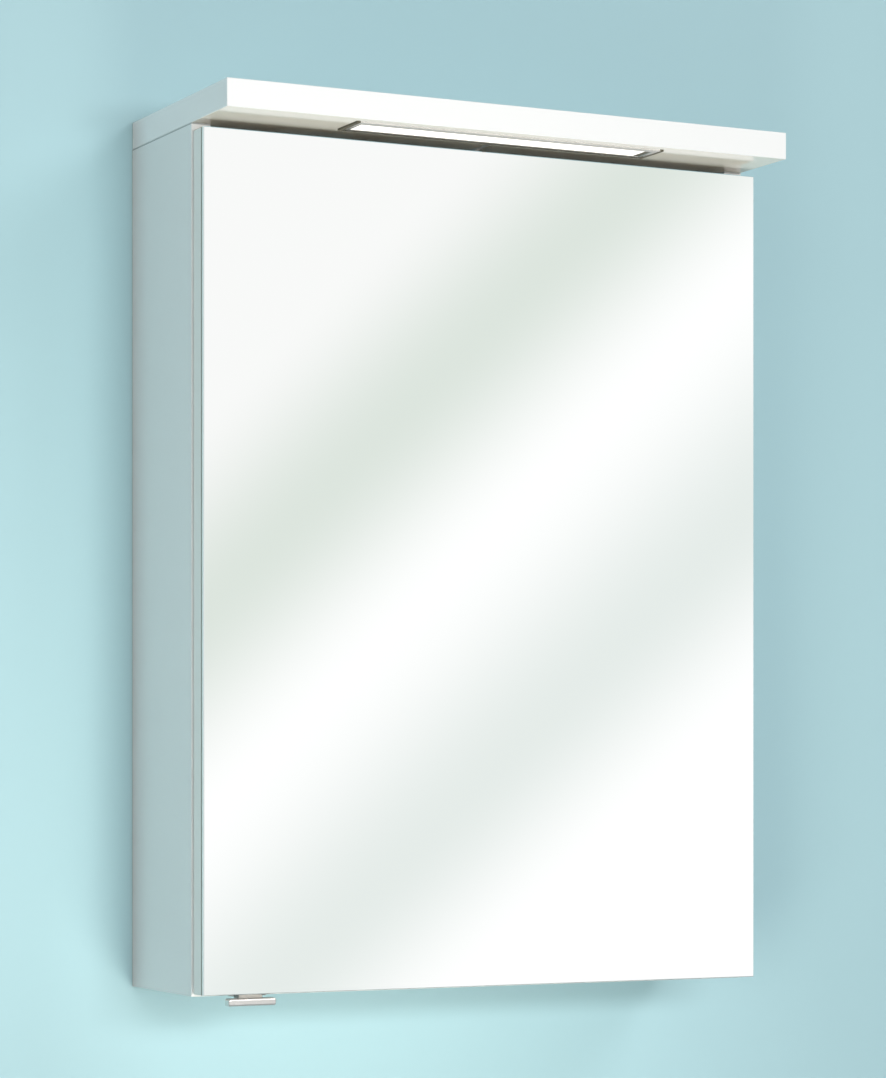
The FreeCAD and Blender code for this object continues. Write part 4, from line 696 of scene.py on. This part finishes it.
# Glue and painted shade: the brown band where the mirror meets the door.
BEAD_GLUE_AND_PAINTED_SHADE = (0.30, 0.28, 0.23, 1)
BEAD_WIDTH = 2.0 * MILLIMETRE
door_low, door_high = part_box("door_board")
door_lines = [
    ("x", door_low.x + BAND_THICKNESS, BAND_SEAM, SEAM_GREY),
    ("x", door_high.x - BAND_THICKNESS, BAND_SEAM, SEAM_GREY),
    ("z", door_low.z + BAND_THICKNESS, BAND_SEAM, SEAM_GREY),
    ("y", door_low.y, BEAD_WIDTH, BEAD_GLUE_AND_PAINTED_SHADE),
]
door_finish = melamine("door_board_melamine", door_lines, ("z", door_high.z - RAW_EDGE_DEPTH), DOOR_WHITE_PAINTED_WARM_LIGHT)
soften("door_board", BOARD_EDGE_RADIUS, door_finish)


# Mirror: silvered float glass with a narrow bright chamfer round its front; its polished sides are painted
# pale as a highlight and its ground top edge dark as shade. It lies on a dark adhesive film set back from its
# edges.

SILVER = (0.955, 0.965, 0.96, 1)
MIRROR_SIDE_PAINTED_HIGHLIGHT = (0.93, 0.955, 0.94, 1)
MIRROR_TOP_PAINTED_SHADE = (0.16, 0.20, 0.17, 1)
CHAMFER_SILVER = (0.88, 0.89, 0.88, 1)
MIRROR_CHAMFER = 0.6 * MILLIMETRE
FACE_DEPTH = 0.02 * MILLIMETRE
FILM_DARK = (0.10, 0.095, 0.085, 1)
glass_low, glass_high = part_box("mirror_glass")
mirror_finish = Finish("silvered_float_glass", {"Specular IOR Level": 0.6})
_, mirror_y, mirror_z = mirror_finish.point.axes()
silvered = mirror_y.under(glass_low.y + MIRROR_CHAMFER - FACE_DEPTH)
flat = mirror_y.under(glass_low.y + FACE_DEPTH)
# Painted highlight and shade: the glass sides are pale, its top edge dark.
painted_edge_highlight_and_shade = mirror_z.over(glass_high.z - FACE_DEPTH).mix(MIRROR_SIDE_PAINTED_HIGHLIGHT, MIRROR_TOP_PAINTED_SHADE)
grind = mirror_finish.point.noise(scale=1500, detail=3)
mirror_finish.set(
    {
        "Base Color": silvered.mix(painted_edge_highlight_and_shade, flat.mix(CHAMFER_SILVER, SILVER)),
        "Metallic": silvered,
        "Roughness": (1 - silvered) * (grind * 0.1 + 0.12),
    }
)
paint(nodes["mirror_glass"], mirror_finish)
paint(nodes["mirror_adhesive"], plastic("adhesive_film", FILM_DARK, roughness=0.7))


# Door bumpers: small domes of soft clear plastic with a sticky foot, pressed onto the door's back where it
# meets the left side.

BUMPER_CLEAR = (0.93, 0.94, 0.93, 1)
DOME_SHARES = ((0, 0), (1.0, 0.0), (0.98, 0.30), (0.88, 0.62), (0.66, 0.86), (0.34, 0.97), (0, 1.0))
clear_rubber = {"Base Color": BUMPER_CLEAR, "Transmission Weight": 0.85, "IOR": 1.41, "Roughness": 0.12}
bumper_finish = Finish("soft_clear_bumper", clear_rubber)
domes = bmesh.new()
for points in islands("door_bumpers"):
    dome_low, dome_high = corners(points)
    dome_radius = (dome_high.x - dome_low.x) / 2
    dome_height = dome_high.y - dome_low.y
    dome_place = (dome_low + dome_high) / 2
    dome_place.y = dome_low.y
    dome = turned([(dome_radius * wide, dome_height * tall) for wide, tall in DOME_SHARES])
    stand(domes, dome, dome_place, Vector((0, 1, 0)))
bumpers = add_piece("door_bumpers_finished", domes, bumper_finish, body_of("door_bumpers"))
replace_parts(bumpers, "door_bumpers")


# Handle: a short satin chrome bar that hangs close below the door's lower edge, on a dull zinc neck and
# foot that two screws hold, painted dark grey as the shade under the door.

HANDLE_METAL = (0.74, 0.715, 0.695, 1)
HANDLE_NECK_PAINTED_SHADE = (0.36, 0.355, 0.34, 1)
BAR_HEIGHT = 6.0 * MILLIMETRE
handle_low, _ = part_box("door_handle")
handle_finish = metal(
    "satin_chrome_handle", HANDLE_METAL, roughness=0.22, spread=0.10, grain=(0.03, 1, 1), scale=1400
)
_, _, handle_z = handle_finish.point.axes()
# Painted shade: the neck and foot above the bar are dark grey, as the shade under the door.
neck_and_foot = handle_z.over(handle_low.z + BAR_HEIGHT)
polished = handle_finish.linked("Base Color")
handle_finish.set(
    {
        "Base Color": neck_and_foot.mix(polished, HANDLE_NECK_PAINTED_SHADE),
        "Roughness": handle_finish.linked("Roughness") + neck_and_foot * 0.3,
        "Metallic": 1 - neck_and_foot,
    }
)
paint(nodes["door_handle"], handle_finish)
make_screws("handle_screws", screw_finish)


# Concealed hinges: nickel-plated pressed steel cups, links and arms, joined by pins, on mounting plates.
# Screws hold the cup in the door, the plate on the right side and the arm on its plate.

HINGE_EDGE_RADIUS = 0.15 * MILLIMETRE
for level in ("upper", "lower"):
    for part in ("hinge_cup", "outer_link", "inner_link", "hinge_arm", "hinge_plate"):
        soften(f"{level}_{part}", HINGE_EDGE_RADIUS, nickel_finish)
    for part in ("cup_pins", "arm_pins"):
        paint(nodes[f"{level}_{part}"], nickel_finish)
for screws in ("hinge_cup_screws", "hinge_plate_screws", "hinge_arm_screws"):
    make_screws(screws, screw_finish)


# Studio: a pale wall that the cabinet hangs on, just behind its back, and a pale floor below it.
# The wall shows from the front only. Where it lies nearer than 40 mm, light that the cabinet scatters
# passes through it, so that its colour doesn't stain the cabinet's rear edges.

WALL_COLOUR = (0.44, 0.65, 0.70, 1)
WALL_WIDTH = 9
WALL_HEIGHT = 5
WALL_MIDDLE = 1.2
WALL_GAP = 0.5 * MILLIMETRE
WALL_NEAR_REACH = 40 * MILLIMETRE
FLOOR_COLOUR = (0.68, 0.69, 0.69, 1)
FLOOR_WIDTH = 9
FLOOR_DROP = 0.75


def stage_plane(name, width, height, matrix, colour):
    shape = bmesh.new()
    bmesh.ops.create_grid(shape, x_segments=1, y_segments=1, size=0.5)
    bmesh.ops.scale(shape, vec=(width, height, 1), verts=shape.verts)
    mesh = bpy.data.meshes.new(name)
    shape.to_mesh(mesh)
    shape.free()
    plane = bpy.data.objects.new(name, mesh)
    plane.matrix_world = matrix
    bpy.context.scene.collection.objects.link(plane)
    finish = Finish(name, {"Base Color": colour, "Roughness": 0.85, "Specular IOR Level": 0.1})
    paint(plane, finish)
    return plane, finish


wall_matrix = Matrix.Translation((0, WALL_GAP, WALL_MIDDLE)) @ Matrix.Rotation(math.pi / 2, 4, "X")
wall, wall_finish = stage_plane("studio_wall", WALL_WIDTH, WALL_HEIGHT, wall_matrix, WALL_COLOUR)
wall.visible_shadow = False
wall_tree = wall_finish.tree
wall_output = wall_tree.nodes["Material Output"]
painted = Wire(wall_tree, wall_finish.shader.outputs[0])
see_through = wall_finish.point.node("ShaderNodeBsdfTransparent")
facing_away = wall_finish.point.node("ShaderNodeNewGeometry", {}, {}, "Backfacing")
bounced = wall_finish.point.node("ShaderNodeLightPath", {}, {}, "Is Diffuse Ray")
ray_length = wall_finish.point.node("ShaderNodeLightPath", {}, {}, "Ray Length")
let_through = facing_away.either(bounced * ray_length.under(WALL_NEAR_REACH))
one_sided = let_through.node("ShaderNodeMixShader", {}, {0: let_through, 1: painted, 2: see_through})
wall_tree.links.new(one_sided.socket, wall_output.inputs["Surface"])
floor_matrix = Matrix.Translation((0, 0, -FLOOR_DROP))
stage_plane("studio_floor", FLOOR_WIDTH, FLOOR_WIDTH, floor_matrix, FLOOR_COLOUR)


# Camera: level, at the place and the angle that were fitted to the photograph. Its frame is moved up
# instead of the camera being tilted, so that the uprights stay upright.

FRAME_WIDTH = 886
FRAME_HEIGHT = 1078
SENSOR_MILLIMETRES = 36.0
FOCAL_PIXELS = 3261.0
HORIZON_PIXEL = 754.9
CAMERA_TURN = math.radians(26.384)
CAMERA_PLACE = Vector((-1.20305, -2.49009, 0.18838))
camera_data = bpy.data.cameras.new("photo_camera")
camera_data.sensor_fit = "HORIZONTAL"
camera_data.sensor_width = SENSOR_MILLIMETRES
camera_data.lens = FOCAL_PIXELS / FRAME_WIDTH * SENSOR_MILLIMETRES
camera_data.shift_y = (HORIZON_PIXEL - FRAME_HEIGHT / 2) / FRAME_WIDTH
camera = bpy.data.objects.new("photo_camera", camera_data)
camera.location = CAMERA_PLACE
camera.rotation_euler = (math.pi / 2, 0, -CAMERA_TURN)
bpy.context.scene.collection.objects.link(camera)
bpy.context.scene.camera = camera


# Reflected card: a tall card with soft slanting tints, out of sight, where the mirror shows it to the
# camera. It stands square to the view that the mirror sends on, so the bands run evenly over the glass.

CARD_DISTANCE = 6.0
CARD_WIDTH = 1.5
CARD_HEIGHT = 2.1
CARD_RISE = 0.36
TINT_START = -0.20
TINT_SPAN = 0.30
TINT_STOPS = [
    (0.07, (0.985, 0.985, 0.98, 1)),
    (0.275, (0.755, 0.815, 0.762, 1)),
    (0.49, (1.05, 1.05, 1.05, 1)),
    (0.735, (0.825, 0.872, 0.850, 1)),
    (0.93, (1.06, 1.06, 1.06, 1)),
]
mirror_plane = glass_low.y
seen_from = Vector((CAMERA_PLACE.x, 2 * mirror_plane - CAMERA_PLACE.y, CAMERA_PLACE.z))
sent_on = Vector((math.sin(CAMERA_TURN), -math.cos(CAMERA_TURN), 0))
card_right = Vector((math.cos(CAMERA_TURN), math.sin(CAMERA_TURN), 0))
card_middle = seen_from + sent_on * CARD_DISTANCE
card_matrix = Matrix.Identity(4)
for index, column in enumerate((card_right, Vector((0, 0, 1)), -sent_on, card_middle)):
    for row in range(3):
        card_matrix[row][index] = column[row]
card, card_finish = stage_plane("reflected_card", CARD_WIDTH, CARD_HEIGHT, card_matrix, BLACK)
for corner in card.data.vertices:
    corner.co.y += CARD_RISE
across, along, _ = card_finish.point.axes()
slant = ((across - along) / CARD_DISTANCE - TINT_START) / TINT_SPAN
card_glow = slant.node("ShaderNodeEmission", {}, {"Color": slant.ramp(TINT_STOPS, "EASE"), "Strength": 1.0})
card_finish.tree.links.new(card_glow.socket, card_finish.tree.nodes["Material Output"].inputs["Surface"])
for sight in ("camera", "diffuse", "transmission", "volume_scatter", "shadow"):
    setattr(card, "visible_" + sight, False)


# Light: a broad soft key from the upper right, a long lamp in front and a weak fill from the left. A small
# warm lamp below lights the cornice from underneath, and an even pale surround lights every side. The camera,
# mirrors and glass see that surround brighter than it shines.

AIM = Vector((0, -0.1, 0.35))
KEY_PLACE = Vector((1.9, -2.6, 2.3))
KEY_SIZE = (1.5, 1.5)
KEY_COLOUR = (1.0, 0.95, 0.945)
KEY_WATTS = 36
FRONT_PLACE = Vector((-0.1, -2.9, 0.58))
FRONT_SIZE = (1.2, 0.3)
FRONT_COLOUR = (1.0, 0.965, 0.96)
FRONT_WATTS = 28.5
FILL_PLACE = Vector((-1.15, -1.0, 0.62))
FILL_SIZE = (0.5, 1.2)
FILL_COLOUR = (1.0, 0.985, 0.95)
FILL_WATTS = 3.6
LOW_PLACE = Vector((-0.17, -0.56, -0.06))
LOW_SIZE = (0.16, 0.4)
LOW_COLOUR = (1.0, 0.94, 0.84)
LOW_WATTS = 2.4
SHED_COLOUR = (0.84, 0.975, 0.98, 1)
SHED_STRENGTH = 0.28
SURROUND_STOPS = [(0.35, (0.80, 0.82, 0.82, 1)), (0.52, (0.90, 0.915, 0.92, 1)), (0.75, (1, 1, 1, 1))]


def soft_lamp(name, place, size, watts, colour):
    data = bpy.data.lights.new(name, "AREA")
    data.shape = "RECTANGLE"
    data.size, data.size_y = size
    data.energy = watts
    data.color = colour
    lamp = bpy.data.objects.new(name, data)
    lamp.location = place
    lamp.rotation_euler = (AIM - place).to_track_quat("-Z", "Y").to_euler()
    lamp.visible_camera = False
    bpy.context.scene.collection.objects.link(lamp)
    return lamp


soft_lamp("key_lamp", KEY_PLACE, KEY_SIZE, KEY_WATTS, KEY_COLOUR)
soft_lamp("front_lamp", FRONT_PLACE, FRONT_SIZE, FRONT_WATTS, FRONT_COLOUR)
soft_lamp("fill_lamp", FILL_PLACE, FILL_SIZE, FILL_WATTS, FILL_COLOUR).visible_glossy = False
soft_lamp("low_lamp", LOW_PLACE, LOW_SIZE, LOW_WATTS, LOW_COLOUR).visible_glossy = False

world = bpy.data.worlds.new("studio_surround")
bpy.context.scene.world = world
world.use_nodes = True
world_tree = world.node_tree
light_path = world_tree.nodes.new("ShaderNodeLightPath")
camera_sees, gloss_sees, glass_sees = (
    Wire(world_tree, light_path.outputs[f"Is {kind} Ray"]) for kind in ("Camera", "Glossy", "Transmission")
)
looked_at = camera_sees.either(gloss_sees).either(glass_sees)
_, _, upward = looked_at.node("ShaderNodeTexCoord", {}, {}, "Generated").axes()
surround = (upward * 0.5 + 0.5).ramp(SURROUND_STOPS)
seen = looked_at.node("ShaderNodeBackground", {}, {"Color": surround, "Strength": 1.0})
shed = looked_at.node("ShaderNodeBackground", {}, {"Color": SHED_COLOUR, "Strength": SHED_STRENGTH})
both = looked_at.node("ShaderNodeMixShader", {}, {0: looked_at, 1: shed, 2: seen})
world_tree.links.new(both.socket, world_tree.nodes["World Output"].inputs["Surface"])
bpy.context.scene.view_settings.view_transform = "Standard"
